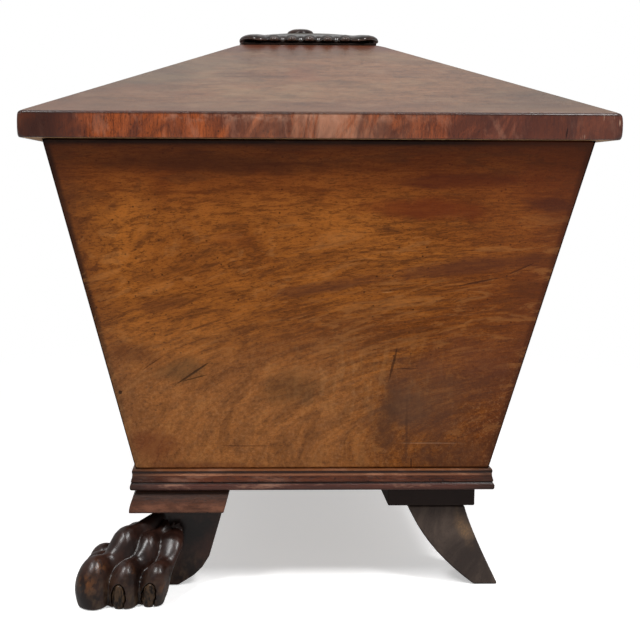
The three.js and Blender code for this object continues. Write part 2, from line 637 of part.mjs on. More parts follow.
// Keyhole escutcheon: an oval plate laid on the leaning front
const ESCUTCHEON_DROP_SHARE = 0.33;
const escutcheonShape = new THREE.Shape();
escutcheonShape.absellipse(0, -KEYHOLE_DROP * ESCUTCHEON_DROP_SHARE,
  ESCUTCHEON_WIDTH / 2, ESCUTCHEON_HEIGHT / 2, 0, 2 * Math.PI, false);
escutcheonShape.holes.push(keyholePath());
const escutcheon = new THREE.ExtrudeGeometry(escutcheonShape,
  { depth: ESCUTCHEON_THICKNESS, bevelEnabled: false, curveSegments: 20 });
const escutcheonZ = rimHeight - KEYHOLE_DEPTH;
const escutcheonMesh = addPiece(carcass, 'key_escutcheon', escutcheon, 'brass');
escutcheonMesh.rotation.x = Math.PI / 2 + Math.atan(bodySlope);
escutcheonMesh.position.set(0, bodyInset(escutcheonZ) - halfRim.y - JOINT_GAP, escutcheonZ);

// Butt hinges: each leaf is a plate with its knuckles, drilled for the pin and the screws
function knuckles(x, radius, outer) {
  const half = KNUCKLE_LENGTH / 2;
  const spans = outer ? [[-HINGE_LENGTH / 2, -half], [half, HINGE_LENGTH / 2]]
    : [[JOINT_GAP - half, half - JOINT_GAP]];
  return spans.map(([from, to]) => toSolid(rodAlongX(radius, x + from, x + to, pinY, pinZ)));
}

function hingeLeaf(x, up) {
  const face = up > 0 ? lidBottom : rimHeight;
  const back = face + up * HINGE_LEAF_THICKNESS;
  let leaf = toSolid(boxBetween([x - HINGE_LENGTH / 2, leafInnerY, Math.min(face, back)],
    [x + HINGE_LENGTH / 2, pinY, Math.max(face, back)]));
  const half = KNUCKLE_LENGTH / 2;
  const free = up > 0 ? [[-HINGE_LENGTH, JOINT_GAP - half], [half - JOINT_GAP, HINGE_LENGTH]]
    : [[-half, half]];
  for (const [from, to] of free) {
    leaf = leaf.subtract(toSolid(rodAlongX(KNUCKLE_RADIUS + JOINT_GAP, x + from, x + to, pinY, pinZ)));
    leaf = leaf.subtract(toSolid(boxBetween([x + from, pinY - KNUCKLE_RADIUS, pinZ - KNUCKLE_RADIUS],
      [x + to, pinY + KNUCKLE_RADIUS, pinZ + KNUCKLE_RADIUS])));
  }
  for (const knuckle of knuckles(x, KNUCKLE_RADIUS, up < 0)) leaf = leaf.add(knuckle);
  const boreRadius = (PIN_RADIUS + PIN_CLEARANCE) / Math.cos(Math.PI / ROD_SIDES);
  leaf = leaf.subtract(toSolid(rodAlongX(boreRadius, x - HINGE_LENGTH, x + HINGE_LENGTH, pinY, pinZ)));
  for (const offset of [-SCREW_SPACING / 2, SCREW_SPACING / 2]) {
    const hole = screwHole();
    if (up > 0) hole.rotateX(Math.PI);
    leaf = leaf.subtract(toSolid(hole.translate(x + offset, screwY, face)));
  }
  return toGeometry(leaf);
}

for (const { name, x } of hinges) {
  addPiece(carcass, `hinge_carcass_leaf_${name}`, hingeLeaf(x, -1), 'brass');
  addPiece(carcass, `hinge_pin_${name}`,
    rodAlongX(PIN_RADIUS, x - HINGE_LENGTH / 2, x + HINGE_LENGTH / 2, pinY, pinZ), 'brass');
  addPiece(lid, `hinge_lid_leaf_${name}`, hingeLeaf(x, 1), 'brass');
}

screwPlaces.forEach((x, i) => {
  addPiece(carcass, `carcass_hinge_screw_${i + 1}`, screw(), 'brass').position.set(x, screwY, rimHeight);
  const lidScrew = addPiece(lid, `lid_hinge_screw_${i + 1}`, screw(), 'brass');
  lidScrew.position.set(x, screwY, lidBottom);
  lidScrew.rotation.x = Math.PI;
});

// Lid: cross-banded edge, rails behind it, and the sloping boards that the rails carry
function slopeTop(inset) {
  return lidBottom + LID_EDGE_HEIGHT + inset * lidSlope;
}

function slopeUnder(inset) {
  return slopeTop(inset) - LID_BOARD_DEPTH;
}

const coreInset = LID_BAND_THICKNESS + JOINT_GAP;
const bandOutline = [[0, lidBottom], [0, slopeTop(0)], [LID_BAND_THICKNESS, slopeTop(LID_BAND_THICKNESS)],
  [LID_BAND_THICKNESS, lidBottom]];
const railOutline = [[coreInset, lidBottom], [coreInset, slopeUnder(coreInset) - JOINT_GAP],
  [LID_RAIL_WIDTH, slopeUnder(LID_RAIL_WIDTH) - JOINT_GAP], [LID_RAIL_WIDTH, lidBottom]];
const slopeOutline = [[coreInset, slopeUnder(coreInset)], [coreInset, slopeTop(coreInset)],
  [LID_SLOPE_RUN, slopeTop(LID_SLOPE_RUN)], [LID_SLOPE_RUN, slopeUnder(LID_SLOPE_RUN)]];

for (const { name, turn } of sides) {
  addPiece(lid, `lid_band_${name}`, mitredSide(bandOutline, halfLid, turn), 'banding');
  addPiece(lid, `lid_slope_${name}`, mitredSide(slopeOutline, halfLid, turn), 'mahogany');
  let rail = toSolid(mitredSide(railOutline, halfLid, turn));
  if (name === 'back') rail = cutHingeSeat(rail, 1);
  if (name === 'front') {
    rail = rail.subtract(toSolid(boxBetween(
      [-LINK_PLATE_LENGTH / 2 - JOINT_GAP, lockY - LINK_PLATE_WIDTH / 2 - JOINT_GAP, lidBottom - OVERRUN],
      [LINK_PLATE_LENGTH / 2 + JOINT_GAP, lockY + LINK_PLATE_WIDTH / 2 + JOINT_GAP,
        lidBottom + LINK_PLATE_THICKNESS + JOINT_GAP])));
  }
  addPiece(lid, `lid_rail_${name}`, toGeometry(rail), 'innerWood');
}

const halfPlateau = halfLid.clone().subScalar(LID_SLOPE_RUN);
const plateauTop = lidBottom + plateauHeight;
const halfTopBoard = halfPlateau.clone().subScalar(JOINT_GAP);
addPiece(lid, 'lid_top_board', boxBetween([-halfTopBoard.x, -halfTopBoard.y, plateauTop - LID_BOARD_DEPTH],
  [halfTopBoard.x, halfTopBoard.y, plateauTop]), 'mahogany');

// Link plate in the lid's front rail, with the staple that the bolt enters
const linkPlate = toSolid(boxBetween([-LINK_PLATE_LENGTH / 2, lockY - LINK_PLATE_WIDTH / 2, lidBottom],
  [LINK_PLATE_LENGTH / 2, lockY + LINK_PLATE_WIDTH / 2, lidBottom + LINK_PLATE_THICKNESS]))
  .add(toSolid(boxBetween([stapleStart, lockY - STAPLE_WIDTH / 2, stapleFoot],
    [stapleEnd, lockY + STAPLE_WIDTH / 2, lidBottom + LINK_PLATE_THICKNESS / 2])))
  .subtract(toSolid(boxBetween(
    [stapleStart - OVERRUN, lockY - BOLT_NOSE_WIDTH / 2 - EYE_CLEARANCE,
      boltMiddle - BOLT_NOSE_HEIGHT / 2 - EYE_CLEARANCE],
    [stapleEnd + OVERRUN, lockY + BOLT_NOSE_WIDTH / 2 + EYE_CLEARANCE,
      boltMiddle + BOLT_NOSE_HEIGHT / 2 + EYE_CLEARANCE])));
addPiece(lid, 'lock_link_plate', toGeometry(linkPlate), 'steel');

// Plinth under the carved plate
const plinthBottom = plateauTop + JOINT_GAP;
const halfPlate = halfPlateau.clone().addScalar(PLATE_OVERHANG);
const halfPlinth = halfPlate.clone().subScalar(PLINTH_INSET);
addPiece(lid, 'plate_plinth', boxBetween([-halfPlinth.x, -halfPlinth.y, plinthBottom],
  [halfPlinth.x, halfPlinth.y, plinthBottom + PLINTH_HEIGHT]), 'carving');

// Carved plate: its outline runs round the edge as a row of lobes, with a leaf at each corner
const LOBE_STEPS = 3;
const CORNER_STEPS = 6;

function plateOutline() {
  const edges = [
    { normal: new THREE.Vector2(1, 0), out: halfPlate.x, along: halfPlate.y, lobes: END_LOBES },
    { normal: new THREE.Vector2(0, 1), out: halfPlate.y, along: halfPlate.x, lobes: SIDE_LOBES },
    { normal: new THREE.Vector2(-1, 0), out: halfPlate.x, along: halfPlate.y, lobes: END_LOBES },
    { normal: new THREE.Vector2(0, -1), out: halfPlate.y, along: halfPlate.x, lobes: SIDE_LOBES },
  ];
  return edges.flatMap(({ normal, out, along, lobes }) => {
    const ahead = new THREE.Vector2(-normal.y, normal.x);
    const straight = along - PLATE_CORNER;
    const place = (outwards, forwards, swell) => ({
      at: normal.clone().multiplyScalar(outwards).addScaledVector(ahead, forwards),
      swell,
    });
    const row = Array.from({ length: lobes * LOBE_STEPS }, (_, i) => {
      const swell = Math.sin(Math.PI * (i % LOBE_STEPS) / LOBE_STEPS);
      const forwards = straight * (2 * i / (lobes * LOBE_STEPS) - 1);
      return place(out - LOBE_DEPTH * (1 - swell), forwards, swell);
    });
    const leaf = Array.from({ length: CORNER_STEPS }, (_, i) => {
      const angle = i / CORNER_STEPS * Math.PI / 2;
      const swell = Math.min(1, 2 * Math.sin(2 * angle));
      const reach = PLATE_CORNER - LOBE_DEPTH * (1 - swell);
      return place(out - PLATE_CORNER + reach * Math.sqrt(Math.cos(angle)),
        straight + reach * Math.sqrt(Math.sin(angle)), swell);
    });
    return [...row, ...leaf];
  });
}

// Rings from the undercut edge up to the boss's seat: size, height, relief of the lobes, roundness
const plateRingShares = [
  [0.96, 0, 0, 0], [1, 0.13, 0, 0], [0.985, 0.235, 0.6, 0], [0.9, 0.32, 1, 0], [0.62, 0.6, 0.7, 0.1],
  [0.3, 0.87, 0.4, 0.5], [0.11, 1, 0, 1],
];
const plateBottom = plinthBottom + PLINTH_HEIGHT + JOINT_GAP;
const plateEdge = plateOutline();
const plateRings = plateRingShares.map(([sizeShare, heightShare, reliefShare, roundShare]) =>
  plateEdge.map(({ at, swell }) => {
    const flat = at.clone().multiplyScalar(sizeShare);
    const ring = at.clone().setLength(BOSS_RADIUS * (1 + sizeShare));
    const place = flat.lerp(ring, roundShare);
    const height = heightShare * PLATE_RISE + reliefShare * LOBE_DEPTH * (swell - 1);
    return new THREE.Vector3(place.x, place.y, plateBottom + height);
  }));
addPiece(lid, 'carved_plate', loft(plateRings, plateEdge.map(({ at }) => at.toArray())), 'carving');

// Boss in the middle of the plate, turned round with a swelling side
const bossShares = [[0, 0], [0.86, 0], [0.98, 0.2], [1, 0.45], [0.9, 0.72], [0.62, 0.92], [0, 1]];
const boss = new THREE.LatheGeometry(bossShares.map(([radiusShare, heightShare]) =>
  new THREE.Vector2(radiusShare * BOSS_RADIUS, heightShare * BOSS_HEIGHT)), 18);
addPiece(lid, 'plate_boss', boss.rotateX(Math.PI / 2), 'carving')
  .position.z = plateBottom + PLATE_RISE + JOINT_GAP;

export default cellarette;
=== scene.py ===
from math import atan2, cos, hypot, pi, radians, sin

import bmesh
import bpy
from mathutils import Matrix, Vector
from mathutils.geometry import interpolate_bezier


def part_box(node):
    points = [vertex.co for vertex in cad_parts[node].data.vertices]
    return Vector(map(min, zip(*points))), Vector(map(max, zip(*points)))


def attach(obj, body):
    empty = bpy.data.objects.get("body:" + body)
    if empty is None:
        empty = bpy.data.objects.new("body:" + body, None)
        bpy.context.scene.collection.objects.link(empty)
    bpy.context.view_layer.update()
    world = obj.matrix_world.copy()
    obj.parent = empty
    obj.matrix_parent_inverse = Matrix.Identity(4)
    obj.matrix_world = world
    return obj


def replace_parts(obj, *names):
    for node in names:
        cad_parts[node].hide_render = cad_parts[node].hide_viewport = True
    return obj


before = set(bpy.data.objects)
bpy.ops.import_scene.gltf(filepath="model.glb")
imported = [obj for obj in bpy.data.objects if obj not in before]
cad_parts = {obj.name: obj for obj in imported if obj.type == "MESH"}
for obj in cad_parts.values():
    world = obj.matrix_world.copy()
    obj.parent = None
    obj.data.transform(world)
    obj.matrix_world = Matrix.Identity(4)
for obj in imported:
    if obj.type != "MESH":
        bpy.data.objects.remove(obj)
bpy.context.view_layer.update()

# Camera
# It stands off the right-hand end at the height of the body, looking a little down, as in the
# photograph. The lens shift only slides the picture sideways.
bpy.ops.object.camera_add(location=(1.52088, -0.07599, 0.42733),
                          rotation=(radians(83.3343), radians(-0.2196), radians(88.4519)))
camera = bpy.context.object
camera.data.lens = 67.07
camera.data.sensor_width = 36
camera.data.shift_x = 0.075
bpy.context.scene.camera = camera
bpy.context.scene.view_settings.view_transform = "Standard"


# Bottom board and body panels
# The body is four tapering mahogany boards, mitred together at the corners and stood on a softwood
# bottom board. The outside is polished; the arrises are rubbed round and dark.
class Wire:
    """One output of a shader node, which can be used in sums"""

    def __init__(self, tree, socket):
        self.tree = tree
        self.socket = socket

    def node(self, kind, settings=None, sockets=None, output=0):
        made = self.tree.nodes.new("ShaderNode" + kind)
        for name, value in (settings or {}).items():
            setattr(made, name, value)
        for key, value in (sockets or {}).items():
            if isinstance(value, Wire):
                self.tree.links.new(value.socket, made.inputs[key])
            else:
                made.inputs[key].default_value = value
        return Wire(self.tree, made.outputs[output])

    def sum(self, operation, first, second):
        return self.node("Math", {"operation": operation}, {0: first, 1: second})

    def __add__(self, other):
        return self.sum("ADD", self, other)

    def __sub__(self, other):
        return self.sum("SUBTRACT", self, other)

    def __mul__(self, other):
        return self.sum("MULTIPLY", self, other)

    def __pow__(self, other):
        return self.sum("POWER", self, other)

    def __rsub__(self, other):
        return self.sum("SUBTRACT", other, self)

    __radd__ = __add__
    __rmul__ = __mul__

    def limits(self, low, high):
        """0 at low and before it, 1 at high and past it, by a smooth step; low may be the larger"""
        return self.node("MapRange", {"interpolation_type": "SMOOTHSTEP"},
                         {"Value": self, "From Min": low, "From Max": high})

    def within(self, low, inner_low, inner_high, high):
        """1 between the two inner numbers, and 0 outside the two outer ones"""
        return self.limits(low, inner_low) * self.limits(high, inner_high)

    def magnitude(self):
        return self.sum("ABSOLUTE", self, 0)

    def wave(self):
        return self.sum("SINE", self, 0)

    def part(self, letter):
        return self.node("SeparateXYZ", {}, {0: self}, "XYZ".index(letter))

    def moved(self, turn=(0, 0, 0), size=(1, 1, 1)):
        """A place scaled, and then turned by degrees, so that a pattern drawn there stretches or leans"""
        sockets = {"Vector": self, "Rotation": [radians(t) for t in turn], "Scale": size}
        return self.node("Mapping", {"vector_type": "POINT"}, sockets)

    def cloud(self, scale, detail=3, roughness=0.55, warp=0.0):
        sockets = {"Vector": self, "Scale": scale, "Detail": detail, "Roughness": roughness,
                   "Distortion": warp}
        return self.node("TexNoise", {}, sockets)

    def specks(self, scale):
        """How far each place is from the nearest of many scattered points"""
        return self.node("TexVoronoi", {}, {"Vector": self, "Scale": scale})

    def blend(self, first, second):
        """The first colour where this wire is 0, and the second where it is 1"""
        return self.node("Mix", {"data_type": "RGBA"}, {0: self, 6: first, 7: second}, 2)


def srgb(red, green, blue):
    """A colour named as a picture shows it, turned into the light it stands for"""
    return [(c / 255 / 12.92 if c < 10.3 else ((c / 255 + 0.055) / 1.055) ** 2.4)
            for c in (red, green, blue)] + [1]


def new_finish(name, **surface):
    """A new material with its own shader, and the wire of its place on the object in metres"""
    material = bpy.data.materials.new(name)
    material.use_nodes = True
    shader = material.node_tree.nodes["Principled BSDF"]
    for socket, value in surface.items():
        shader.inputs[socket.replace("_", " ")].default_value = value
    coordinates = material.node_tree.nodes.new("ShaderNodeTexCoord")
    return material, shader, Wire(material.node_tree, coordinates.outputs["Object"])


def coat(shader, colour, shine, height, depth):
    """Joins a colour, a roughness and a relief to a material's shader"""
    relief = height.node("Bump", {}, {"Height": height, "Distance": depth, "Strength": 0.6})
    for socket, wire in (("Base Color", colour), ("Roughness", shine), ("Normal", relief)):
        wire.tree.links.new(wire.socket, shader.inputs[socket])


def straight(place):
    """The figure of a straight-grained board, which bends nothing"""
    return place


def mahogany(name, grain_turn, light, dark, streak, gloss=0.36, polish=0.0, sheen=0.25, figure=straight):
    """Polished mahogany, its grain turned to X. Returns its parts, so that a board can add to them."""
    material, shader, place = new_finish(name, Coat_Weight=polish, Coat_Roughness=0.2,
                                         Specular_IOR_Level=sheen)
    grain = figure(place).moved(turn=grain_turn)
    drift = grain.moved(size=(1, 2.2, 2.2)).cloud(5, 4, 0.55, 0.8)
    flame = grain.moved(size=(1, 6, 6)).cloud(10, 6, 0.65, 1.2)
    fine = grain.moved(size=(1, 9, 9)).cloud(52, 5, 0.75, 0.3)
    pores = place.moved(turn=grain_turn).moved(size=(1, 5, 5)).cloud(230, 3, 0.75)
    colour = drift.limits(0.34, 0.66).blend(dark, light)
    colour = (flame.limits(0.47, 0.66) * 0.5).blend(colour, streak)
    colour = (fine.limits(0.48, 0.62) * 0.6).blend(colour, streak)
    colour = (fine.limits(0.47, 0.36) * 0.4).blend(colour, light)
    colour = (pores.limits(0.53, 0.63) * 0.6).blend(colour, [c * 0.35 for c in streak[:3]] + [1])
    seed = place.cloud(19, 1).limits(0.44, 0.54)
    spots = place.specks(120).limits(0.17, 0.06) * seed
    colour = (spots * 0.8).blend(colour, [c * 0.3 for c in streak[:3]] + [1])
    shine = gloss + (flame - 0.5) * 0.12 + (drift - 0.5) * 0.14
    height = pores.limits(0.75, 0.5) * 0.5 + drift * 0.5
    return material, shader, place, colour, shine, height


def worn_arris(name, colour, rubbed, gloss=0.4):
    """A dark arris, rubbed through to paler wood in places"""
    material, shader, place = new_finish(name, Coat_Weight=0.15, Coat_Roughness=0.3)
    rub = place.cloud(55, 4, 0.7).limits(0.5, 0.66)
    coat(shader, (rub * 0.8).blend(colour, rubbed), gloss + rub * 0.15, rub, 0.0001)
    return material


def mark(place, start, end, width, wobble=0.5, scale=60, core=0.55):
    """1 inside a streak or patch on the end, between two (y, z) places in metres, 0 away from it"""
    (from_y, from_z), (to_y, to_z) = start, end
    lean = atan2(to_z - from_z, to_y - from_y)
    y = place.part("Y") - (from_y + to_y) / 2
    z = place.part("Z") - (from_z + to_z) / 2
    along = (y * cos(lean) + z * sin(lean)) * (2 / hypot(to_y - from_y, to_z - from_z))
    across = (z * cos(lean) - y * sin(lean)) * (2 / width)
    away = (along * along + across * across) ** 0.5 + (place.cloud(scale, 4, 0.65) - 0.5) * wobble
    return away.limits(1, core)


# How boards' grain is turned, the level of the body's rim, how far a board's sloping arris leans out for
# each metre of height, and how far it would stand from the middle at the floor
END_GRAIN = (0, 0, 90)
LONG_GRAIN = (0, 0, 0)
RIM = 0.466
BODY_TAPER = 0.2321
LONG_PANEL_REACH = 0.2826
END_PANEL_REACH = 0.1526
RING_CENTRE_Y, RING_CENTRE_Z, RING_FLATNESS = 0.3, 0.14, 0.35
panel_colours = (srgb(150, 87, 30), srgb(107, 55, 14), srgb(72, 34, 9))


def rising_figure(place):
    """The end board's own figure: its rings rise to the back, and run level under the lid"""
    aside = (RING_CENTRE_Y - place.part("Y")) * RING_FLATNESS
    rise = place.part("Z") - RING_CENTRE_Z
    ring = (aside * aside + rise * rise) ** 0.5
    level = ring + (rise - ring) * place.part("Z").limits(0.33, 0.44)
    return place.node("CombineXYZ", {}, {"X": place.part("X"), "Y": place.part("Y"), "Z": level})


def panel_wood(name, grain_turn, across, foot_reach, figure):
    """A board of the body, which is dark along its sloping arrises and in the shade of the lid"""
    parts = mahogany(name, grain_turn, *panel_colours, gloss=0.38, sheen=0.09, figure=figure)
    material, shader, place, colour, shine, height = parts
    below = RIM - place.part("Z")
    inside = place.part("Z") * BODY_TAPER + foot_reach - place.part(across).magnitude()
    haze = place.cloud(16, 4, 0.6) * 0.03
    # Painted shade under the lid's overhang, deepening towards the rim
    colour = ((below - haze).limits(0.066, 0.006) * 0.6).blend(colour, srgb(98, 40, 10))
    colour = ((inside + haze).limits(0.06, 0.01) * 0.55).blend(colour, srgb(70, 34, 19))
    colour = (inside.limits(0.008, 0.003) * 0.8).blend(colour, srgb(28, 14, 9))
    # Painted shadow of the lid's edge, near black right under the rim
    colour = (below.limits(0.02, 0) * 0.6).blend(colour, srgb(50, 20, 9))
    colour = (below.limits(0.0075, 0.0028) * 0.9).blend(colour, srgb(14, 6, 4))
    return material, shader, place, colour, shine, height


long_panel, shader, place, colour, shine, height = panel_wood(
    "mahogany_long_panel", LONG_GRAIN, "X", LONG_PANEL_REACH, straight)
coat(shader, colour, shine, height, 0.0002)

# Both ends have the figure and the history of the one in the photograph: rings, stains and a shake
end_panel, shader, place, colour, shine, height = panel_wood(
    "mahogany_end_panel", END_GRAIN, "Y", END_PANEL_REACH, rising_figure)
crotch = rising_figure(place).moved(turn=END_GRAIN).moved(size=(1, 5, 5))
veins = crotch.cloud(15, 6, 0.7, 1.2)
rings = (rising_figure(place).part("Z") * 760 + place.cloud(7, 3) * 16).wave().limits(0.35, 1)
ring_room = place.part("Y").limits(-0.15, 0.05) * place.part("Z").limits(0.4, 0.3)
colour = (rings * ring_room * 0.32).blend(colour, srgb(84, 48, 26))
ripple = place.moved(size=(1, 1, 0.16)).cloud(120, 2).limits(0.47, 0.62)
ripple_room = mark(place, (-0.11, 0.225), (0.19, 0.225), 0.13, wobble=0.9, scale=20, core=0.1)
colour = (ripple * ripple_room * 0.28).blend(colour, srgb(166, 120, 72))
colour = (place.part("Y").limits(0.1, 0.22) * 0.35).blend(colour, srgb(104, 50, 26))
low = place.part("Z").limits(0.32, 0.2)
colour = (low * place.part("Y").limits(0.12, 0) * 0.42).blend(colour, srgb(148, 100, 62))
grit = place.cloud(300, 4, 0.8)
colour = (grit.limits(0.5, 0.62) * (0.12 + low * 0.22)).blend(colour, srgb(62, 36, 20))
colour = (grit.limits(0.48, 0.38) * low * 0.22).blend(colour, srgb(168, 122, 80))
colour = (veins.limits(0.5, 0.62) * 0.35).blend(colour, srgb(66, 36, 18))
colour = (veins.limits(0.48, 0.38) * place.part("Z").limits(0.42, 0.36) * 0.25).blend(
    colour, srgb(164, 110, 60))

# Soft stains and bruises, and then sharp scratches, cracks and dents: from one (y, z) place to another,
# how wide, how strong and of what colour
end_stains = [
    ((-0.165, 0.236), (-0.09, 0.243), 0.034, 0.5, srgb(78, 56, 34)),
    ((-0.2, 0.16), (-0.13, 0.156), 0.04, 0.5, srgb(92, 42, 22)),
    ((-0.066, 0.214), (0.02, 0.224), 0.05, 0.5, srgb(74, 48, 26)),
    ((0.04, 0.19), (0.19, 0.21), 0.14, 0.6, srgb(86, 54, 38)),
    ((0.12, 0.21), (0.21, 0.235), 0.09, 0.45, srgb(76, 42, 30)),
    ((0.05, 0.196), (0.14, 0.2), 0.06, 0.45, srgb(76, 55, 43)),
    ((0.08, 0.138), (0.21, 0.146), 0.05, 0.55, srgb(78, 47, 31)),
    ((-0.19, 0.136), (-0.02, 0.134), 0.014, 0.4, srgb(84, 42, 26)),
    ((0.072, 0.14), (0.078, 0.235), 0.036, 0.45, srgb(66, 42, 29)),
    ((0.08, 0.25), (0.24, 0.26), 0.06, 0.4, srgb(96, 52, 32)),
    ((0.19, 0.409), (0.262, 0.402), 0.018, 0.6, srgb(58, 26, 20)),
    ((0.02, 0.404), (0.19, 0.398), 0.03, 0.75, srgb(94, 38, 12)),
    ((0.02, 0.425), (0.24, 0.43), 0.02, 0.7, srgb(78, 30, 11)),
    ((-0.25, 0.446), (0.05, 0.44), 0.026, 0.6, srgb(66, 30, 11)),
    ((-0.12, 0.372), (-0.05, 0.368), 0.02, 0.35, srgb(108, 54, 18)),
    ((-0.2, 0.3), (-0.12, 0.31), 0.02, 0.35, srgb(84, 44, 22)),
    ((-0.08, 0.31), (0.09, 0.337), 0.016, 0.6, srgb(82, 44, 24)),
    ((0.03, 0.33), (0.26, 0.358), 0.024, 0.7, srgb(76, 38, 22)),
    ((-0.21, 0.262), (-0.15, 0.25), 0.03, 0.45, srgb(80, 44, 24)),
    ((0.094, 0.215), (0.097, 0.13), 0.004, 0.45, srgb(66, 42, 30)),
]
for start, end, width, strength, stain in end_stains:
    patch = mark(place, start, end, width, wobble=1.3, scale=32, core=0.3)
    colour = (patch * strength).blend(colour, stain)
end_scars = [
    ((-0.144, 0.220), (-0.1, 0.251), 0.0026, 0.75, srgb(42, 26, 14)),
    ((-0.141, 0.2245), (-0.104, 0.2345), 0.002, 0.7, srgb(50, 32, 16)),
    ((-0.173, 0.2385), (-0.150, 0.2545), 0.0018, 0.5, srgb(62, 36, 18)),
    # The next is a faint painted shadow line, which also dents the relief
    ((-0.13, 0.278), (-0.09, 0.292), 0.003, 0.45, srgb(66, 36, 20)),
    ((0.0745, 0.2245), (0.0825, 0.266), 0.0032, 0.7, srgb(44, 24, 14)),
    ((0.081, 0.2395), (0.105, 0.2395), 0.0017, 0.6, srgb(56, 28, 18)),
    ((0.133, 0.3235), (0.182, 0.334), 0.0022, 0.7, srgb(54, 28, 16)),
    ((0.182, 0.334), (0.216, 0.35), 0.002, 0.6, srgb(58, 30, 18)),
    ((0.1016, 0.1445), (0.1024, 0.128), 0.0016, 0.8, srgb(50, 28, 18)),
    ((-0.102, 0.1565), (-0.036, 0.1562), 0.0018, 0.5, srgb(78, 42, 22)),
    ((-0.1975, 0.217), (-0.1945, 0.213), 0.0048, 0.85, srgb(30, 16, 10)),
    ((0.080, 0.1595), (0.160, 0.1592), 0.0015, 0.35, srgb(160, 122, 92)),
    ((0.062, 0.3185), (0.078, 0.3195), 0.0012, 0.45, srgb(160, 112, 66)),
]
scars = 0
for start, end, width, strength, tone in end_scars:
    scar = mark(place, start, end, width, wobble=1.0, scale=260)
    colour = (scar * strength).blend(colour, tone)
    scars = scar + scars
coat(shader, colour, shine + scars * 0.2, height - scars * 1.5, 0.0003)
panel_arris = worn_arris("panel_arris", srgb(28, 15, 10), srgb(58, 31, 18))


def look_at(item):
    """Selects one object alone"""
    bpy.ops.object.select_all(action="DESELECT")
    item.select_set(True)
    bpy.context.view_layer.objects.active = item


def edit_all(item):
    """Goes into edit mode with all of a piece selected"""
    look_at(item)
    bpy.ops.object.mode_set(mode="EDIT")
    bpy.ops.mesh.select_all(action="SELECT")


def apply_modifier(item, kind, **settings):
    """Finishes a piece with one modifier"""
    look_at(item)
    modifier = item.modifiers.new(kind.lower(), kind)
    for name, value in settings.items():
        setattr(modifier, name, value)
    bpy.ops.object.modifier_apply(modifier=modifier.name)


def dress(item, body, slot, *materials):
    """Gives a piece its materials and the body it rides on; the slot is not used"""
    item.data.materials.clear()
    for material in materials:
        item.data.materials.append(material)
    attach(item, body)
    return item


def planed(node, arris, steps=2, angle=30, trim=None):
    """A merged copy of a node, trimmed to a hull if one is given, and with its arrises rounded; they
    take the second material"""
    board = bpy.data.objects.new(node + "_finished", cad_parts[node].data.copy())
    bpy.context.scene.collection.objects.link(board)
    edit_all(board)
    bpy.ops.mesh.remove_doubles(threshold=0.00001)
    bpy.ops.mesh.dissolve_limited(angle_limit=radians(0.5))
    bpy.ops.object.mode_set(mode="OBJECT")
    board.data.materials.clear()
    board.data.materials.append(panel_arris)
    board.data.materials.append(panel_arris)
    if trim:
        apply_modifier(board, "BOOLEAN", operation="INTERSECT", object=trim, solver="EXACT")
    apply_modifier(board, "BEVEL", width=arris, segments=steps, limit_method="ANGLE",
                   angle_limit=radians(angle), material=1, harden_normals=False)
    bpy.ops.object.shade_smooth_by_angle(angle=radians(40))
    apply_modifier(board, "WEIGHTED_NORMAL", mode="FACE_AREA", weight=100, keep_sharp=True)
    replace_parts(board, node)
    return board


for side, material in (("front", long_panel), ("back", long_panel), ("left", end_panel),
                       ("right", end_panel)):
    dress(planed(side + "_panel", 0.002), "carcass", "mahogany", material, panel_arris)

bare_wood, shader, place = new_finish("bare_softwood")
grain = place.moved(size=(1.5, 14, 14)).cloud(16, 5, 0.6, 0.8)
coat(shader, grain.limits(0.35, 0.68).blend(srgb(168, 128, 82), srgb(122, 84, 48)), 0.65 + grain * 0.2,
     grain, 0.0004)
dress(planed("bottom_board", 0.0008), "carcass", "inner_wood", bare_wood, bare_wood)

# Base moulding
# A run of mahogany moulding in four lengths, mitred at the corners and glued round the foot of the
# body: a bead, a fillet, a hollowed band, a groove and a rounded lower fascia.
MITRE_SHADE = 0.045


def moulding_wood(name, grain_turn, across, reach):
    """The moulding's finish, darker towards the mitres, which lie at a reach from the middle"""
    material, shader, place, colour, shine, height = mahogany(
        name, grain_turn, srgb(82, 43, 27), srgb(52, 25, 16), srgb(30, 12, 8),
        gloss=0.3, polish=0.15, sheen=0.18)
    rub = place.moved(size=(0.3, 0.3, 1.4)).cloud(60, 5, 0.72).limits(0.5, 0.66)
    level = place.part("Z")
    bead = level.limits(0.1288, 0.1294)
    quirk = level.within(0.1271, 0.1279, 0.129, 0.1297)
    fillet = level.within(0.1242, 0.125, 0.1264, 0.1272)
    groove = level.within(0.1157, 0.1165, 0.1176, 0.1184)
    fascia = level.limits(0.117, 0.1155)
    colour = (bead * 0.8).blend(colour, srgb(104, 62, 34))
    colour = (fascia * 0.55).blend(colour, srgb(70, 44, 40))
    # A painted highlight line along the fillet, paler still where the wood is rubbed
    colour = (fillet * (0.3 + rub * 0.4)).blend(colour, srgb(176, 118, 84))
    colour = (rub * (0.25 + fascia * 0.3)).blend(colour, srgb(150, 110, 90))
    ends = place.part(across).magnitude().limits(reach - MITRE_SHADE, reach)
    colour = (ends * 0.75).blend(colour, srgb(36, 23, 19))
    # Painted shade: a near-black line in the quirk at the top and another in the groove
    colour = (quirk * 0.9).blend((groove * 0.9).blend(colour, srgb(20, 9, 7)), srgb(26, 11, 6))
    coat(shader, colour, shine + rub * 0.12, height - quirk * 3 - groove * 3, 0.0004)
    return material


end_moulding = moulding_wood("moulding_end", END_GRAIN, "Y", reach=0.189)
long_moulding = moulding_wood("moulding_long", LONG_GRAIN, "X", reach=0.319)
moulding_arris = worn_arris("moulding_arris", srgb(54, 31, 24), srgb(140, 100, 82))
for side, material in (("front", long_moulding), ("back", long_moulding),
                       ("left", end_moulding), ("right", end_moulding)):
    board = planed("base_moulding_" + side, 0.0008, angle=25)
    dress(board, "carcass", "moulding", material, moulding_arris)
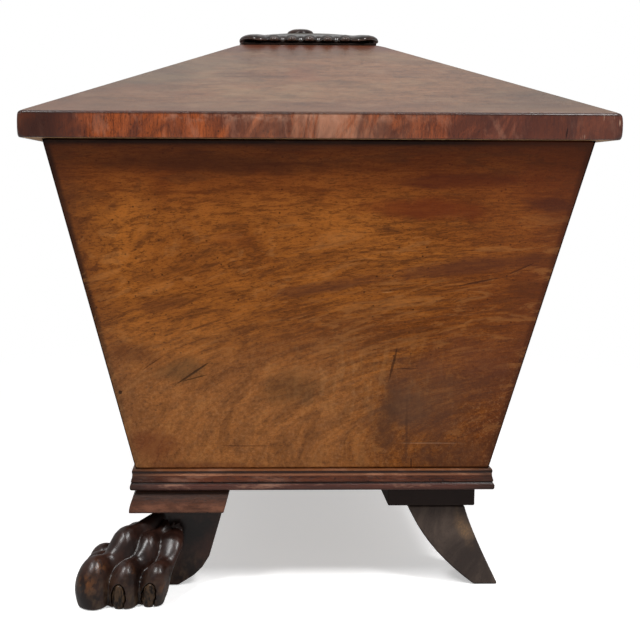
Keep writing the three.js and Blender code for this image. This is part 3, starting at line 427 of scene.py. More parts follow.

# Front foot blocks
# Square mahogany blocks with an ovolo worked on the two outer faces, screwed under the moulding. The
# hollow is darker, and the swelling below it has a painted highlight and is rubbed paler in places.
block_wood, shader, place, colour, shine, height = mahogany(
    "foot_block", END_GRAIN, srgb(72, 42, 28), srgb(46, 25, 17), srgb(28, 13, 9), polish=0.1, sheen=0.2)
level = place.part("Z")
swelling = level.within(0.0862, 0.0885, 0.092, 0.1)
hollow = level.limits(0.099, 0.103)
shade_under_moulding = level.limits(0.1072, 0.109)
rub = place.moved(size=(0.5, 0.5, 1.2)).cloud(70, 5, 0.7).limits(0.38, 0.66)
# Partly a painted highlight along the swelling, partly rubbed wear
colour = (swelling * (0.15 + rub * 0.5)).blend(colour, srgb(122, 78, 58))
colour = (hollow * 0.5).blend(colour, srgb(34, 19, 13))
# Painted shadow just under the moulding
colour = (shade_under_moulding * 0.9).blend(colour, srgb(26, 14, 10))
coat(shader, colour, shine + rub * 0.1, height, 0.0003)
for side in ("left", "right"):
    block = planed("front_foot_block_" + side, 0.0008, angle=50)
    dress(block, "carcass", "moulding", block_wood, moulding_arris)

# Paw feet
# Carved mahogany paws on the front corners, five toes each, with a flat wing behind them. The toes
# are rounded over from knuckle to tip, with cut grooves between them and a claw let into each tip.
MOULDING_CORNER = Vector((0.3189, -0.1889, 0))
PAW_REACH = 0.0669
FOOT_HEIGHT = 0.0857
SOLE_LEVEL = 0.0002
TOE_HALF = 0.0178
BULB_SETBACK = 0.25
PAW_GRAIN = 0.0009
NAIL_DEPTH, NAIL_HALF, NAIL_HEIGHT = 0.0046, 0.0068, 0.0152
NAIL_LEVEL = 0.0112
NAIL_TILT = 0.2
BED_MARGIN = 0.0014
WING_SETBACK, WING_WIDTH = 0.0263, 0.0702

# The front toe and the two beside it: the ankle, bend and tip of its line, as shares of the paw's reach;
# its fullness, the drop of its top, the arch and the filling of its sole, and how far it leans in; and
# its nail's turn, size and distance from the middle of the tip
toe_lines = [
    ([(-0.761, 0), (0.15, 0), (1, 0)], 1, 0, 0, 0.08, 0, (0, 0.7, 0.0088)),
    ([(-0.592, 0.18), (-0.003, 0.21), (0.628, 0.423)], 0.92, 0.1, 0, 0.17, 0.4, (0.2, 1, 0.0122)),
    ([(-0.681, 0.295), (-0.296, 0.565), (0.264, 0.745)], 0.88, 0.13, 0.26, 0.07, 0.9, (0.2, 1, 0.0122)),
]
# A toe's sections from the ankle to the tip: how far back, its top, its sole and its width, as shares
toe_sections = [
    (1.7, 0.975, 0.45, 0.5), (1.42, 0.92, 0.4, 0.52), (1.16, 0.865, 0.33, 0.6), (1.06, 0.855, 0.3, 0.7),
    (0.96, 0.86, 0.27, 0.8), (0.88, 0.85, 0.25, 0.86), (0.8, 0.815, 0.22, 0.86), (0.72, 0.745, 0.2, 0.79),
    (0.64, 0.665, 0.17, 0.71), (0.57, 0.61, 0.13, 0.68), (0.5, 0.588, 0.07, 0.73), (0.42, 0.597, 0, 0.86),
    (0.34, 0.605, -0.05, 0.96), (0.26, 0.593, -0.07, 1), (0.19, 0.56, -0.06, 0.97), (0.13, 0.51, -0.03, 0.88),
    (0.08, 0.455, 0.01, 0.74), (0.035, 0.39, 0.07, 0.52), (0.008, 0.33, 0.15, 0.26),
]
# What lies below each level moves in by this much for a toe that leans in fully
lean_steps = [(0.035, 0.0016), (0.029, 0.0018), (0.023, 0.002), (0.017, 0.002), (0.01, 0.002)]


def paw_place(u, v, z=0.0):
    """A place on the paw: u runs out along the corner's diagonal and v across it"""
    return MOULDING_CORNER + Vector(((u + v) / 2 ** 0.5, (v - u) / 2 ** 0.5, z))


def toe_line(shares):
    """Places along a toe's line, from its tip back to its ankle"""
    ankle, bend, tip = [Vector(share) * PAW_REACH for share in shares]
    places = interpolate_bezier(tip, tip.lerp(bend, 2 / 3), ankle.lerp(bend, 2 / 3), ankle, 80)
    return [place.to_2d() for place in places]


def back_along(places, distance):
    """The place and heading at a distance back from the tip"""
    for ahead, behind in zip(places, places[1:]):
        step = (behind - ahead).length
        if distance <= step or behind == places[-1]:
            heading = ahead - behind
            return ahead.lerp(behind, min(1, distance / step)), atan2(heading.y, heading.x)
        distance -= step


def size_slab(half, height, centre):
    """Brings a new unit slab that stands upright to its size and place, and leaves it in edit mode"""
    slab = bpy.context.object
    bpy.ops.object.transform_apply(location=False, rotation=True, scale=False)
    edit_all(slab)
    bpy.ops.transform.resize(value=(half, half, height / 2))
    bpy.ops.transform.translate(value=centre)
    return slab


def pick_corners(item, wanted):
    """Selects the corners of a piece in edit mode whose places pass a test"""
    mesh = bmesh.from_edit_mesh(item.data)
    for corner in mesh.verts:
        corner.select = wanted(corner.co)
    mesh.select_flush_mode()
    bmesh.update_edit_mesh(item.data)


def close_blank():
    """Turns every face outwards and leaves edit mode"""
    bpy.ops.mesh.select_all(action="SELECT")
    bpy.ops.mesh.normals_make_consistent(inside=False)
    bpy.ops.object.mode_set(mode="OBJECT")


def draw_out(stations):
    """Extrudes what is selected through stations: each a centre, a heading, a half width, a height"""
    for (here, turn, half, height), (there, next_turn, next_half, next_height) in zip(stations, stations[1:]):
        bpy.ops.mesh.extrude_region_move(TRANSFORM_OT_translate={"value": there - here})
        bpy.ops.transform.rotate(value=turn - next_turn, orient_axis="Z", center_override=there)
        across = next_half / half
        bpy.ops.transform.resize(value=(across, across, next_height / height), center_override=there)
    close_blank()


def draw_up(stages, centre):
    """Extrudes what is selected upwards through stages: each a level, a size along X and one along Y"""
    for (level, x_size, y_size), (next_level, next_x, next_y) in zip(stages, stages[1:]):
        bpy.ops.mesh.extrude_region_move(TRANSFORM_OT_translate={"value": (0, 0, next_level - level)})
        bpy.ops.transform.resize(value=(next_x / x_size, next_y / y_size, 1), center_override=centre)
    close_blank()


def finish_low_part(item, lean):
    """Draws the low part of a toe or a nail in under the paw, and planes it level with the floor"""
    edit_all(item)
    inward = paw_place(0, -lean) - paw_place(0, 0)
    if lean:
        for level, shift in lean_steps:
            pick_corners(item, lambda place: place.z < level)
            bpy.ops.transform.translate(value=inward * shift)
    bpy.ops.mesh.select_all(action="SELECT")
    bpy.ops.mesh.bisect(plane_co=(0, 0, SOLE_LEVEL), plane_no=(0, 0, 1), use_fill=True, clear_inner=True)
    bpy.ops.object.mode_set(mode="OBJECT")
    return item


def ramp(value, start, end):
    """0 at the start and before it, 1 at the end and past it"""
    return min(1, max(0, (value - start) / (end - start)))


def carve_toe(shares, fullness, drop, arch, fill, lean):
    """A toe drawn out of an oval slab, section by section, from the ankle to the tip"""
    places = toe_line(shares)
    stations = []
    for back, top, sole, width in toe_sections:
        place, heading = back_along(places, back * fullness * PAW_REACH)
        filled = fill * ramp(back, 0.03, 0.13) * ramp(back, 0.7, 0.5)
        low = FOOT_HEIGHT * (sole + arch * ramp(back, 0.38, 0.68) - filled)
        high = FOOT_HEIGHT * top * (1 - drop * ramp(back, 1.7, 1.18))
        stations.append((paw_place(place.x, place.y, (low + high) / 2), heading - pi / 4,
                         TOE_HALF * fullness * width, high - low))
    centre, heading, half, height = stations[0]
    bpy.ops.mesh.primitive_circle_add(vertices=28, radius=1, fill_type="NGON",
                                      rotation=(pi / 2, 0, heading + pi / 2))
    toe = size_slab(half, height, centre)
    draw_out(stations)
    return finish_low_part(toe, lean)


def claw_blank(shares, fullness, lean, turn, size, seat, grow=0.0):
    """An upright nail let into the tip of a toe; grow makes the wider, deeper cutter for its bed"""
    tip = toe_line(shares)[0]
    ahead = (tip - Vector(shares[1]) * PAW_REACH).normalized()
    facing = atan2(ahead.y, ahead.x) + turn
    bulb = tip - ahead * BULB_SETBACK * fullness * PAW_REACH
    place = bulb + Vector((cos(facing), sin(facing))) * seat * fullness
    bpy.ops.mesh.primitive_uv_sphere_add(
        segments=20, ring_count=14, radius=1, location=paw_place(place.x, place.y, NAIL_LEVEL * size),
        rotation=(0, NAIL_TILT, facing - pi / 4),
        scale=(NAIL_DEPTH + grow, NAIL_HALF * size + grow, NAIL_HEIGHT * size + grow * 0.6))
    bpy.ops.object.transform_apply()
    return finish_low_part(bpy.context.object, lean)


def carve_wing():
    """The flat-sided block behind the toes, extruded up from the floor and widened at each stage"""
    face = MOULDING_CORNER + Vector((-WING_SETBACK, WING_SETBACK, 0))
    stages = [(0, 0.31), (0.062, 0.433), (0.126, 0.554), (0.227, 0.677), (0.366, 0.782), (0.63, 0.873),
              (1, 1)]
    width = WING_WIDTH * stages[0][1]
    half = width / 2
    bpy.ops.mesh.primitive_plane_add(size=width)
    block = bpy.context.object
    edit_all(block)
    bpy.ops.transform.translate(value=face + Vector((-half, half, 0)))
    draw_up([(level * FOOT_HEIGHT, share, share) for level, share in stages], face)
    return block


def joined(items, name):
    """Some blanks as one object with a name"""
    look_at(items[0])
    for item in items:
        item.select_set(True)
    bpy.ops.object.join()
    items[0].name = name
    bpy.ops.object.transform_apply()
    return items[0]


def fused(item, grain, passes, share):
    """Fuses the overlapping blanks of one piece into a single carved skin"""
    apply_modifier(item, "REMESH", mode="VOXEL", voxel_size=grain)
    apply_modifier(item, "SMOOTH", factor=0.5, iterations=passes)
    apply_modifier(item, "DECIMATE", ratio=share)
    bpy.ops.object.shade_smooth()
    return item


def mirrored(item, name):
    """The same piece for the other side of the box, with its own mesh"""
    twin = bpy.data.objects.new(name, item.data.copy())
    bpy.context.scene.collection.objects.link(twin)
    edit_all(twin)
    bpy.ops.transform.resize(value=(-1, 1, 1), center_override=(0, 0, 0))
    bpy.ops.mesh.remove_doubles(threshold=0.000001)
    close_blank()
    bpy.ops.object.shade_smooth()
    return twin


toes = []
beds = []
nails = []
for shares, fullness, drop, arch, fill, lean, (turn, size, seat) in toe_lines:
    for mirror in ((-1, 1) if lean else (1,)):
        line = [(u, v * mirror) for u, v in shares]
        toes.append(carve_toe(line, fullness, drop, arch, fill, lean * mirror))
        claw = (line, fullness, lean * mirror, turn * mirror, size, seat)
        nails.append(claw_blank(*claw))
        if lean:
            beds.append(claw_blank(*claw, grow=BED_MARGIN))
paw = fused(joined(toes + [carve_wing()], "paw_carving_right"), PAW_GRAIN, passes=4, share=1)
for bed in beds:
    apply_modifier(paw, "BOOLEAN", operation="DIFFERENCE", object=bed, solver="EXACT")
    bpy.data.objects.remove(bed)
paw = fused(paw, PAW_GRAIN, passes=2, share=0.6)
claws = joined(nails, "paw_claws_right")
bpy.ops.object.shade_smooth()

paw_wood, shader, place = new_finish("paw_polish", Coat_Weight=0.18, Coat_Roughness=0.28,
                                     Specular_IOR_Level=0.24)
right_hand = place.node("VectorMath", {"operation": "ABSOLUTE"}, {0: place})
right_hand = place.node("VectorMath", {"operation": "MULTIPLY"}, {0: right_hand, 1: (1, -1, 1)})
bend = place.node("NewGeometry", output="Pointiness")
wear = place.cloud(42, 4, 0.7)
grit = place.moved(turn=(18, 0, 0)).moved(size=(1, 1, 0.45)).cloud(170, 4, 0.7)
low = place.part("Z").limits(0.045, 0.008)
colour = wear.limits(0.35, 0.7).blend(srgb(22, 11, 8), srgb(48, 27, 20))
colour = (low * grit.limits(0.38, 0.62) * wear.limits(0.36, 0.56) * 0.7).blend(colour, srgb(72, 56, 40))
rubbed_places = [((0.368, -0.2285, 0.027), 0.017), ((0.362, -0.2141, 0.045), 0.014),
                 ((0.366, -0.1809, 0.042), 0.014), ((0.36, -0.1516, 0.02), 0.011)]
for centre, reach in rubbed_places:
    away = place.node("VectorMath", {"operation": "DISTANCE"}, {0: right_hand, 1: centre}, 1)
    patch = (away + (grit - 0.5) * 0.03).limits(reach, reach * 0.2) * grit.limits(0.42, 0.6)
    colour = (patch * 0.65).blend(colour, srgb(106, 64, 32))
colour = (bend.limits(0.49, 0.45) * 0.8).blend(colour, srgb(12, 7, 6))
coat(shader, colour, 0.24 + wear * 0.18 + low * 0.14, grit * 0.5 + wear, 0.0005)
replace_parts(dress(paw, "carcass", "carving", paw_wood), "paw_foot_right")
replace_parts(dress(mirrored(paw, "paw_carving_left"), "carcass", "carving", paw_wood), "paw_foot_left")

claw_wood, shader, place = new_finish("claw_polish", Coat_Weight=0.1, Coat_Roughness=0.25,
                                      Specular_IOR_Level=0.15)
ridges = place.moved(size=(1, 1, 0.16)).cloud(420, 3, 0.6)
coat(shader, ridges.limits(0.38, 0.6).blend(srgb(18, 12, 9), srgb(72, 54, 38)), 0.35 + ridges * 0.15, ridges,
     0.0012)
dress(claws, "carcass", "carving", claw_wood)
dress(mirrored(claws, "paw_claws_left"), "carcass", "carving", claw_wood)

# Back foot blocks and sabre feet
# Plain stained blocks under the moulding, and feet sawn from a flat board that kick out to the back.
# They stand against the wall, so their finish is a thin dull stain.
stain, shader, place = new_finish("stained_foot", Specular_IOR_Level=0.22)
blotch = place.moved(size=(1, 1, 0.6)).cloud(22, 5, 0.65, 0.8)
grit = place.cloud(420, 3, 0.7)
colour = blotch.limits(0.35, 0.7).blend(srgb(50, 41, 37), srgb(82, 69, 61))
colour = (place.part("Z").limits(0.084, 0.087) * 0.9).blend(colour, srgb(33, 18, 13))
colour = (grit.limits(0.5, 0.75) * 0.35).blend(colour, srgb(34, 27, 25))
scuff = mark(place, (0.15, 0.086), (0.176, 0.036), 0.02, wobble=1.6, core=0.1)
colour = (scuff * (0.35 + grit.limits(0.42, 0.6) * 0.5)).blend(colour, srgb(118, 92, 66))
coat(shader, colour, 0.5 + blotch * 0.2, grit * 0.5 + blotch, 0.0004)
foot_arris = worn_arris("foot_arris", srgb(40, 32, 30), srgb(84, 66, 54), gloss=0.5)
for side in ("left", "right"):
    dress(planed("back_foot_block_" + side, 0.0012), "carcass", "plain_foot", stain, foot_arris)
    dress(planed("sabre_foot_" + side, 0.0022, steps=3), "carcass", "plain_foot", stain, foot_arris)


# Liner and bottle rack
# A folded zinc tray stands inside the panels. The rack in it is thin softwood boards, slotted half
# through where they cross, so that it lifts out in one piece.
def metal(name, bright, dull, gloss, spots):
    """Metal gone dull in clouds, with small dark spots"""
    material, shader, place = new_finish(name, Metallic=1.0)
    bloom = place.cloud(28, 5, 0.65, 0.5)
    spot = place.cloud(260, 3, 0.7).limits(0.6, 0.72) * spots
    colour = spot.blend(bloom.limits(0.35, 0.68).blend(bright, dull), [c * 0.25 for c in dull[:3]] + [1])
    coat(shader, colour, gloss + bloom * 0.25 + spot * 0.2, bloom + spot, 0.0002)
    return material


zinc = metal("zinc_sheet", srgb(168, 172, 174), srgb(118, 122, 124), gloss=0.3, spots=0.4)
dress(planed("zinc_liner", 0.0006), "carcass", "zinc", zinc, zinc)
for divider in ("long_1", "long_2", "cross_1", "cross_2", "cross_3", "cross_4"):
    board = planed("bottle_divider_" + divider, 0.0007)
    dress(board, "carcass", "inner_wood", bare_wood, bare_wood)

# Lock
# A steel box lock let into the top edge of the front panel, with a sliding brass bolt, a small brass
# escutcheon round the keyhole, and a steel link plate let into the lid. Age has browned their faces.
steel = metal("aged_steel", srgb(132, 128, 122), srgb(78, 72, 66), gloss=0.32, spots=0.8)
brass = metal("aged_brass", srgb(196, 158, 88), srgb(134, 98, 48), gloss=0.22, spots=0.7)
lock_parts = [("lock_case", "carcass", "steel", steel), ("lock_bolt", "bolt", "brass", brass),
              ("key_escutcheon", "carcass", "brass", brass), ("lock_link_plate", "lid", "steel", steel)]
for node, body, slot, finish in lock_parts:
    dress(planed(node, 0.0003), body, slot, finish, finish)

# Lid frame
# Four softwood rails, mitred under the lid, carry the edge banding and the sloping boards. They are
# planed clean and left bare.
for side in ("front", "back", "left", "right"):
    dress(planed("lid_rail_" + side, 0.0005), "lid", "inner_wood", bare_wood, bare_wood)


# Lid edge banding
# Cross-banded mahogany glued round the lid's edge, its grain upright. On the ends it is dark at the
# corners and paled by a painted reflection in the middle, and a short crack runs up near the back corner.
UPRIGHT_GRAIN = (0, 90, 0)
EDGE_LEVEL = 0.48965
SLOPE_RISE = 0.0836
SLOPE_RUN = 0.2045
HULL_ROOM = 0.00005
CORNER_ROUND = 0.0085
EDGE_ROUND = 0.0014

band_wood, shader, place, colour, shine, height = mahogany(
    "banding", UPRIGHT_GRAIN, srgb(136, 66, 28), srgb(88, 38, 17), srgb(50, 19, 9),
    gloss=0.24, polish=0.25, sheen=0.2)
side = place.part("Y")
level = place.part("Z")
on_end = place.part("X").magnitude().limits(0.39, 0.405)
strips = place.moved(turn=(20, 0, 0)).moved(size=(1, 1, 0.3)).cloud(34, 5, 0.7, 0.5)
clouds = place.moved(turn=(25, 0, 0)).moved(size=(1, 1, 0.5)).cloud(20, 4, 0.65, 0.9)
colour = (strips.limits(0.42, 0.66) * 0.35).blend(colour, srgb(142, 76, 46))
# Painted reflection: a pale band down the middle of each end, broken by the grain
middle_sheen = side.within(-0.1, -0.02, 0.02, 0.12) * (0.1 + strips.limits(0.4, 0.6) * 0.35)
colour = (middle_sheen * on_end).blend(colour, srgb(160, 122, 100))
colour = (side.limits(0.03, 0.18) * on_end * 0.5).blend(colour, srgb(86, 52, 46))
colour = (clouds.limits(0.44, 0.62) * 0.7).blend(colour, srgb(54, 28, 23))
pale = place.moved(turn=(-12, 0, 0)).moved(size=(1, 1, 0.4)).cloud(70, 4, 0.7)
colour = (pale.limits(0.52, 0.66) * on_end * 0.22).blend(colour, srgb(150, 104, 84))
colour = (side.limits(0.224, 0.232) * on_end * 0.45).blend(colour, srgb(50, 33, 32))
colour = (side.limits(-0.215, -0.262) * on_end * 0.8).blend(colour, srgb(38, 17, 12))
scratches = place.moved(turn=(38, 0, 0), size=(1, 1, 0.22)).cloud(210, 2).limits(0.6, 0.68)
colour = (scratches * side.limits(0.228, 0.245) * on_end * 0.5).blend(colour, srgb(170, 142, 122))
# Painted sheen in broken patches just under the top edge of the ends
rim = level.limits(0.479, 0.487) * side.within(-0.2, -0.1, 0.02, 0.14)
sheen_breaks = place.moved(size=(1, 0.7, 1)).cloud(90, 4, 0.7).limits(0.44, 0.66)
colour = (rim * sheen_breaks * on_end * 0.4).blend(colour, srgb(166, 128, 108))
colour = (level.limits(0.4872, 0.4888) * 0.8).blend(colour, srgb(30, 15, 11))
crack = mark(place, (0.227, 0.466), (0.2282, 0.479), 0.0016, wobble=0.6, scale=160)
colour = (crack * 0.9).blend(colour, srgb(26, 10, 8))
coat(shader, colour, shine + strips * 0.1, height - crack, 0.0003)


def lid_hull():
    """A block of the whole lid's outline with its corners and edges worn round. What meets at a
    corner is trimmed to it, so that the corner is round across the joints."""
    far_x, far_y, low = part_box("lid_band_front")[0]
    low -= HULL_ROOM
    half_x = HULL_ROOM - far_x
    half_y = HULL_ROOM - far_y
    bpy.ops.mesh.primitive_plane_add(size=2, location=(0, 0, low))
    hull = bpy.context.object
    edit_all(hull)
    bpy.ops.transform.resize(value=(half_x, half_y, 1))
    bpy.ops.mesh.extrude_region_move(TRANSFORM_OT_translate={"value": (0, 0, EDGE_LEVEL - low)})
    bpy.ops.mesh.extrude_region_move(TRANSFORM_OT_translate={"value": (0, 0, SLOPE_RISE)})
    bpy.ops.transform.resize(value=(1 - SLOPE_RUN / half_x, 1 - SLOPE_RUN / half_y, 1))
    bpy.ops.mesh.select_all(action="SELECT")
    bpy.ops.mesh.normals_make_consistent(inside=False)
    bpy.ops.mesh.bevel(offset=CORNER_ROUND, segments=3, affect="VERTICES")
    bpy.ops.object.mode_set(mode="OBJECT")
    bpy.ops.object.transform_apply()
    apply_modifier(hull, "BEVEL", width=EDGE_ROUND, segments=3, limit_method="ANGLE",
                   angle_limit=radians(38))
    return hull


hull = lid_hull()
band_arris = worn_arris("band_arris", srgb(52, 25, 17), srgb(158, 118, 96))
for side in ("front", "back", "left", "right"):
    board = planed("lid_band_" + side, 0.0005, trim=hull)
    dress(board, "lid", "banding", band_wood, band_arris)


# Lid slopes and top board
# Four sloping mahogany boards meet at the hips and leave a flat board in the middle. Their polish is
# greyed by dust and old wax, and the arrises at the hips are dark.
def slope_wood(name, grain_turn):
    """The lid's polish, greyed along the grain, duller to the sides, and dark by the edge and the top"""
    material, shader, place, colour, shine, height = mahogany(
        name, grain_turn, srgb(108, 73, 48), srgb(82, 53, 35), srgb(58, 34, 23),
        gloss=0.26, polish=0.3, sheen=0.42)
    along = place.moved(turn=grain_turn).moved(size=(0.4, 1, 1))
    dust = along.cloud(14, 5, 0.65, 0.4)
    warm = along.cloud(9, 4, 0.6, 0.6).limits(0.48, 0.66)
    level = place.part("Z")
    colour = (dust.limits(0.42, 0.66) * 0.4).blend(colour, srgb(108, 92, 70))
    colour = (warm * 0.4).blend(colour, srgb(104, 54, 34))
    bloom = along.cloud(60, 5, 0.75)
    colour = (bloom.limits(0.5, 0.66) * 0.4).blend(colour, srgb(54, 34, 24))
    colour = (bloom.limits(0.48, 0.36) * 0.25).blend(colour, srgb(128, 102, 78))
    to_side = place.part("Y").magnitude().limits(0.08, 0.24)
    by_edge = level.limits(0.505, 0.491)
    plate_reflection = level.limits(0.5615, 0.57)
    colour = (to_side * 0.4).blend(colour, srgb(62, 48, 34))
    colour = (by_edge * 0.4).blend(colour, srgb(92, 62, 46))
    # Painted reflection of the dark plate on the slope just below it
    colour = (plate_reflection * 0.7).blend(colour, srgb(74, 36, 27))
    coat(shader, colour, shine + dust * 0.1, height, 0.0002)
    return material


end_slope = slope_wood("slope_end", END_GRAIN)
long_slope = slope_wood("slope_long", LONG_GRAIN)
for side, material in (("front", long_slope), ("back", long_slope), ("left", end_slope),
                       ("right", end_slope)):
    board = planed("lid_slope_" + side, 0.0009, trim=hull)
    dress(board, "lid", "mahogany", material, panel_arris)
bpy.data.objects.remove(hull)
dress(planed("lid_top_board", 0.0006), "lid", "mahogany", long_slope, panel_arris)


# Carved plate, its plinth and its boss
# A low dome carved from one board, with a row of bulging lobes round its edge, a rolled leaf at each
# corner and petals round the turned boss. It is nearly black, and glossy on the lobes.
def dark_polish(name, dark, light, sheen):
    """Nearly black polish, worn lighter in clouds"""
    material, shader, place = new_finish(name, Coat_Weight=sheen * 0.4, Coat_Roughness=0.15,
                                         Specular_IOR_Level=sheen)
    wear = place.cloud(80, 4, 0.7)
    coat(shader, wear.limits(0.35, 0.7).blend(dark, light), 0.28 + wear * 0.15, wear, 0.0003)
    return material


plinth_wood = dark_polish("plinth_polish", srgb(12, 7, 5), srgb(30, 17, 12), sheen=0.08)
dress(planed("plate_plinth", 0.0006), "lid", "carving", plinth_wood, plinth_wood)
plate_low, plate_high = [Vector(corner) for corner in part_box("carved_plate")]
plate_half = (plate_high - plate_low) / 2
DOME_CORNER = 0.016
CORNER_ROOM = 0.028
LOBE_SETBACK = 0.0006
LEAF_SETBACK = 0.007
LOBE_LEVEL = plate_low.z + 0.0012
PETAL_REACH = 0.019
PETAL_LEVEL = plate_high.z - 0.0065
END_LOBES, SIDE_LOBES, PETALS = 5, 15, 8


def carve_dome():
    """The low hipped dome under the ornament, drawn up from its underside and drawn in at each stage"""
    insets = [(0.0085, 0.0), (0.0075, 0.0022), (0.0085, 0.0062), (0.0123, 0.0083), (0.021, 0.0101),
              (0.0308, 0.0119), (0.0405, 0.0136), (0.0495, 0.0151), (0.0598, 0.0165), (0.068, 0.0172)]
    stages = [(level, plate_half.x - inset, plate_half.y - inset) for inset, level in insets]
    bpy.ops.mesh.primitive_plane_add(size=2, location=(0, 0, plate_low.z))
    dome = bpy.context.object
    edit_all(dome)
    bpy.ops.transform.resize(value=(stages[0][1], stages[0][2], 1))
    bpy.ops.mesh.bevel(offset=DOME_CORNER, segments=5, affect="VERTICES")
    bpy.ops.mesh.select_all(action="SELECT")
    draw_up(stages, (0, 0, 0))
    return dome


def carve_mound():
    """The round swelling in the middle of the dome, which the petals lie on and the boss is let into"""
    rings = [(0.058, 0.012), (0.052, 0.0168), (0.042, 0.0212), (0.031, 0.025), (0.022, 0.0276),
             (0.015, 0.0286)]
    bpy.ops.mesh.primitive_circle_add(vertices=48, radius=rings[0][0], fill_type="NGON",
                                      location=(0, 0, plate_low.z + rings[0][1]))
    mound = bpy.context.object
    edit_all(mound)
    draw_up([(level, radius, radius) for radius, level in rings], (0, 0, 0))
    return mound


def carve_lobe(tip, heading, length, half, height, profile):
    """A lobe drawn out from its narrow tail to its full round end, which lies at the tip"""
    ahead = Vector((cos(heading), sin(heading), 0))
    stations = [(tip - ahead * length * (1 - along) + Vector((0, 0, lift * height)), heading,
                 half * width, height * thickness) for along, lift, width, thickness in profile]
    centre, _, tail_half, tail_height = stations[0]
    bpy.ops.mesh.primitive_plane_add(size=2, rotation=(pi / 2, 0, heading + pi / 2))
    lobe = size_slab(tail_half, tail_height, centre)
    pick_corners(lobe, lambda place: place.z >= centre.z)
    bpy.ops.mesh.bevel(offset=tail_half * 0.98, segments=5, affect="VERTICES")
    pick_corners(lobe, lambda place: place.z < centre.z)
    bpy.ops.mesh.bevel(offset=tail_half * 0.6, segments=3, affect="VERTICES")
    bpy.ops.mesh.select_all(action="SELECT")
    draw_out(stations)
    return lobe


# A lobe's and a petal's sections: how far along, and how high, wide and thick it is there, as shares
lobe_profile = [(0, 0.9, 0.3, 0.2), (0.25, 0.82, 0.55, 0.4), (0.5, 0.66, 0.86, 0.7), (0.7, 0.52, 1, 0.96),
                (0.85, 0.47, 0.92, 0.9), (0.95, 0.46, 0.66, 0.66), (1, 0.44, 0.25, 0.3)]
petal_profile = [(0, -1, 0.4, 0.5), (0.3, -0.55, 0.8, 0.8), (0.6, 0.05, 1, 1), (0.9, 0.6, 0.75, 0.8),
                 (1, 0.7, 0.4, 0.4)]
# Each lobe is full, with a smaller one at its foot: how far back, how long, how wide, how thick
lobe_pair = [(0.0034, 0.024, 0.485, 0.0084), (0, 0.012, 0.27, 0.0056)]
ornament = [carve_dome(), carve_mound()]
rows = [(0, plate_half.x, plate_half.y, END_LOBES), (pi / 2, plate_half.y, plate_half.x, SIDE_LOBES),
        (pi, plate_half.x, plate_half.y, END_LOBES), (-pi / 2, plate_half.y, plate_half.x, SIDE_LOBES)]
for heading, out, along, count in rows:
    ahead = Vector((cos(heading), sin(heading), 0))
    sideways = Vector((-sin(heading), cos(heading), 0))
    pitch = 2 * (along - CORNER_ROOM) / count
    for i in range(count):
        tip = ahead * (out - LOBE_SETBACK) + sideways * ((i + 0.5) * pitch - along + CORNER_ROOM)
        tip.z = LOBE_LEVEL
        for setback, length, half, thick in lobe_pair:
            lobe = carve_lobe(tip - ahead * setback, heading, length, pitch * half, thick, lobe_profile)
            ornament.append(lobe)
for x, y in ((-1, -1), (-1, 1), (1, -1), (1, 1)):
    tip = Vector((x * (plate_half.x - LEAF_SETBACK), y * (plate_half.y - LEAF_SETBACK), LOBE_LEVEL))
    ornament.append(carve_lobe(tip, atan2(y, x), length=0.046, half=0.0185, height=0.0088,
                               profile=lobe_profile))
for i in range(PETALS):
    heading = (i + 0.5) * 2 * pi / PETALS
    tip = Vector((cos(heading), sin(heading), 0)) * PETAL_REACH
    tip.z = PETAL_LEVEL
    ornament.append(carve_lobe(tip, heading + pi, length=0.026, half=0.0068, height=0.006,
                               profile=petal_profile))
plate = fused(joined(ornament, "plate_carving"), grain=0.0011, passes=2, share=0.5)

plate_polish, shader, place = new_finish("plate_polish", Coat_Roughness=0.1, Specular_IOR_Level=0.3)
wear = place.cloud(60, 4, 0.7)
bend = place.node("NewGeometry", output="Pointiness")
edge = (place.part("X") * (1 / plate_half.x)) ** 8 + (place.part("Y") * (1 / plate_half.y)) ** 8
dome = edge.limits(0.36, 0.14)
colour = wear.limits(0.35, 0.7).blend(srgb(14, 8, 6), srgb(38, 22, 16))
# The dome's grey-green is partly dust and partly a painted reflection
colour = (dome * (0.45 + wear * 0.5)).blend(colour, srgb(66, 60, 48))
from_middle = place.node("VectorMath", {"operation": "LENGTH"}, {0: place.moved(size=(1, 1, 0))}, 1)
# Painted highlights on the petals round the boss
petals = (from_middle + wear * 0.01).limits(0.044, 0.028)
colour = (petals * 0.7).blend(colour, srgb(92, 62, 52))
colour = (bend.limits(0.51, 0.56) * 0.35).blend(colour, srgb(96, 70, 58))
colour = (bend.limits(0.49, 0.45) * 0.85).blend(colour, srgb(8, 5, 4))
coat(shader, colour, 0.2 + dome * 0.3 + wear * 0.1, wear, 0.0003)
gloss = 0.7 - dome * 0.62
place.tree.links.new(gloss.socket, shader.inputs["Coat Weight"])
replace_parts(dress(plate, "lid", "carving", plate_polish), "carved_plate")
boss_wood = dark_polish("boss_polish", srgb(26, 15, 12), srgb(54, 34, 27), sheen=0.3)
dress(planed("plate_boss", 0.0007, steps=3, angle=20), "lid", "carving", boss_wood, boss_wood)

# Hinges
# Two brass butt hinges let into the back rail and the back panel, each leaf held by two countersunk
# screws and turning on a brass pin.
for side in ("left", "right"):
    for part, body in (("carcass_leaf_", "carcass"), ("lid_leaf_", "lid"), ("pin_", "carcass")):
        dress(planed("hinge_" + part + side, 0.0002), body, "brass", brass, brass)
for i in (1, 2, 3, 4):
    dress(planed("carcass_hinge_screw_%d" % i, 0.0001), "carcass", "brass", brass, brass)
    dress(planed("lid_hinge_screw_%d" % i, 0.0001), "lid", "brass", brass, brass)

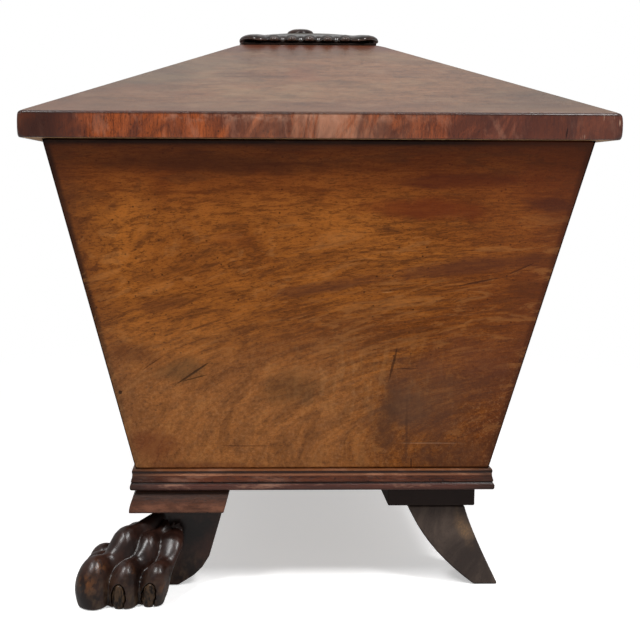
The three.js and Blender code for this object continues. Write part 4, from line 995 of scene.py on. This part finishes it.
# Lamps, floor and backdrop
# A pale studio: a plain floor that fades into white, two tall soft lamps high on either side of the
# camera, and a bright ceiling behind the piece that the sloping lid reflects.
bpy.ops.mesh.primitive_plane_add(size=12, location=(0, 0, -0.0005))
floor = bpy.context.object
floor.name = "studio_floor"
floor_material, shader, place = new_finish("pale_floor", Roughness=0.9)
seen = place.node("LightPath")
bounce = seen.blend((0.4, 0.4, 0.4, 1), (1.6, 1.6, 1.6, 1))
place.tree.links.new(bounce.socket, shader.inputs["Base Color"])
far_off = place.node("VectorMath", {"operation": "LENGTH"}, {0: place}, 1).limits(0.75, 1.5)
bare = far_off + (1 - far_off) * seen * 0.45
glow = place.node("Emission", {}, {"Color": (1, 1, 1, 1), "Strength": 1})
output = floor_material.node_tree.nodes["Material Output"]
ground = place.node("MixShader", {}, {0: bare, 1: Wire(place.tree, shader.outputs[0]), 2: glow})
place.tree.links.new(ground.socket, output.inputs["Surface"])
floor.data.materials.append(floor_material)

lamp_target = Vector((0.2, 0, 0.2))
for across in (-0.75, 0.75):
    bpy.ops.object.light_add(type="AREA", location=(1.25, across, 1.75))
    lamp = bpy.context.object
    lamp.data.shape = "RECTANGLE"
    lamp.data.size = 0.32
    lamp.data.size_y = 0.65
    lamp.data.energy = 30
    lamp.rotation_euler = (lamp_target - lamp.location).to_track_quat("-Z", "Y").to_euler()

world = bpy.data.worlds.new("studio")
world.use_nodes = True
bpy.context.scene.world = world
background = world.node_tree.nodes["Background"]
rays = world.node_tree.nodes.new("ShaderNodeLightPath")
direct = Wire(world.node_tree, rays.outputs["Is Camera Ray"])
coordinates = world.node_tree.nodes.new("ShaderNodeTexCoord")
sky = Wire(world.node_tree, coordinates.outputs["Generated"])
ceiling = sky.part("Z").limits(0.1, 0.6) * sky.part("X").limits(0.3, -0.3)
around = 0.25 + ceiling * 0.4
strength = direct * (1 - around) + around
world.node_tree.links.new(strength.socket, background.inputs["Strength"])
background.inputs["Color"].default_value = (1, 1, 1, 1)
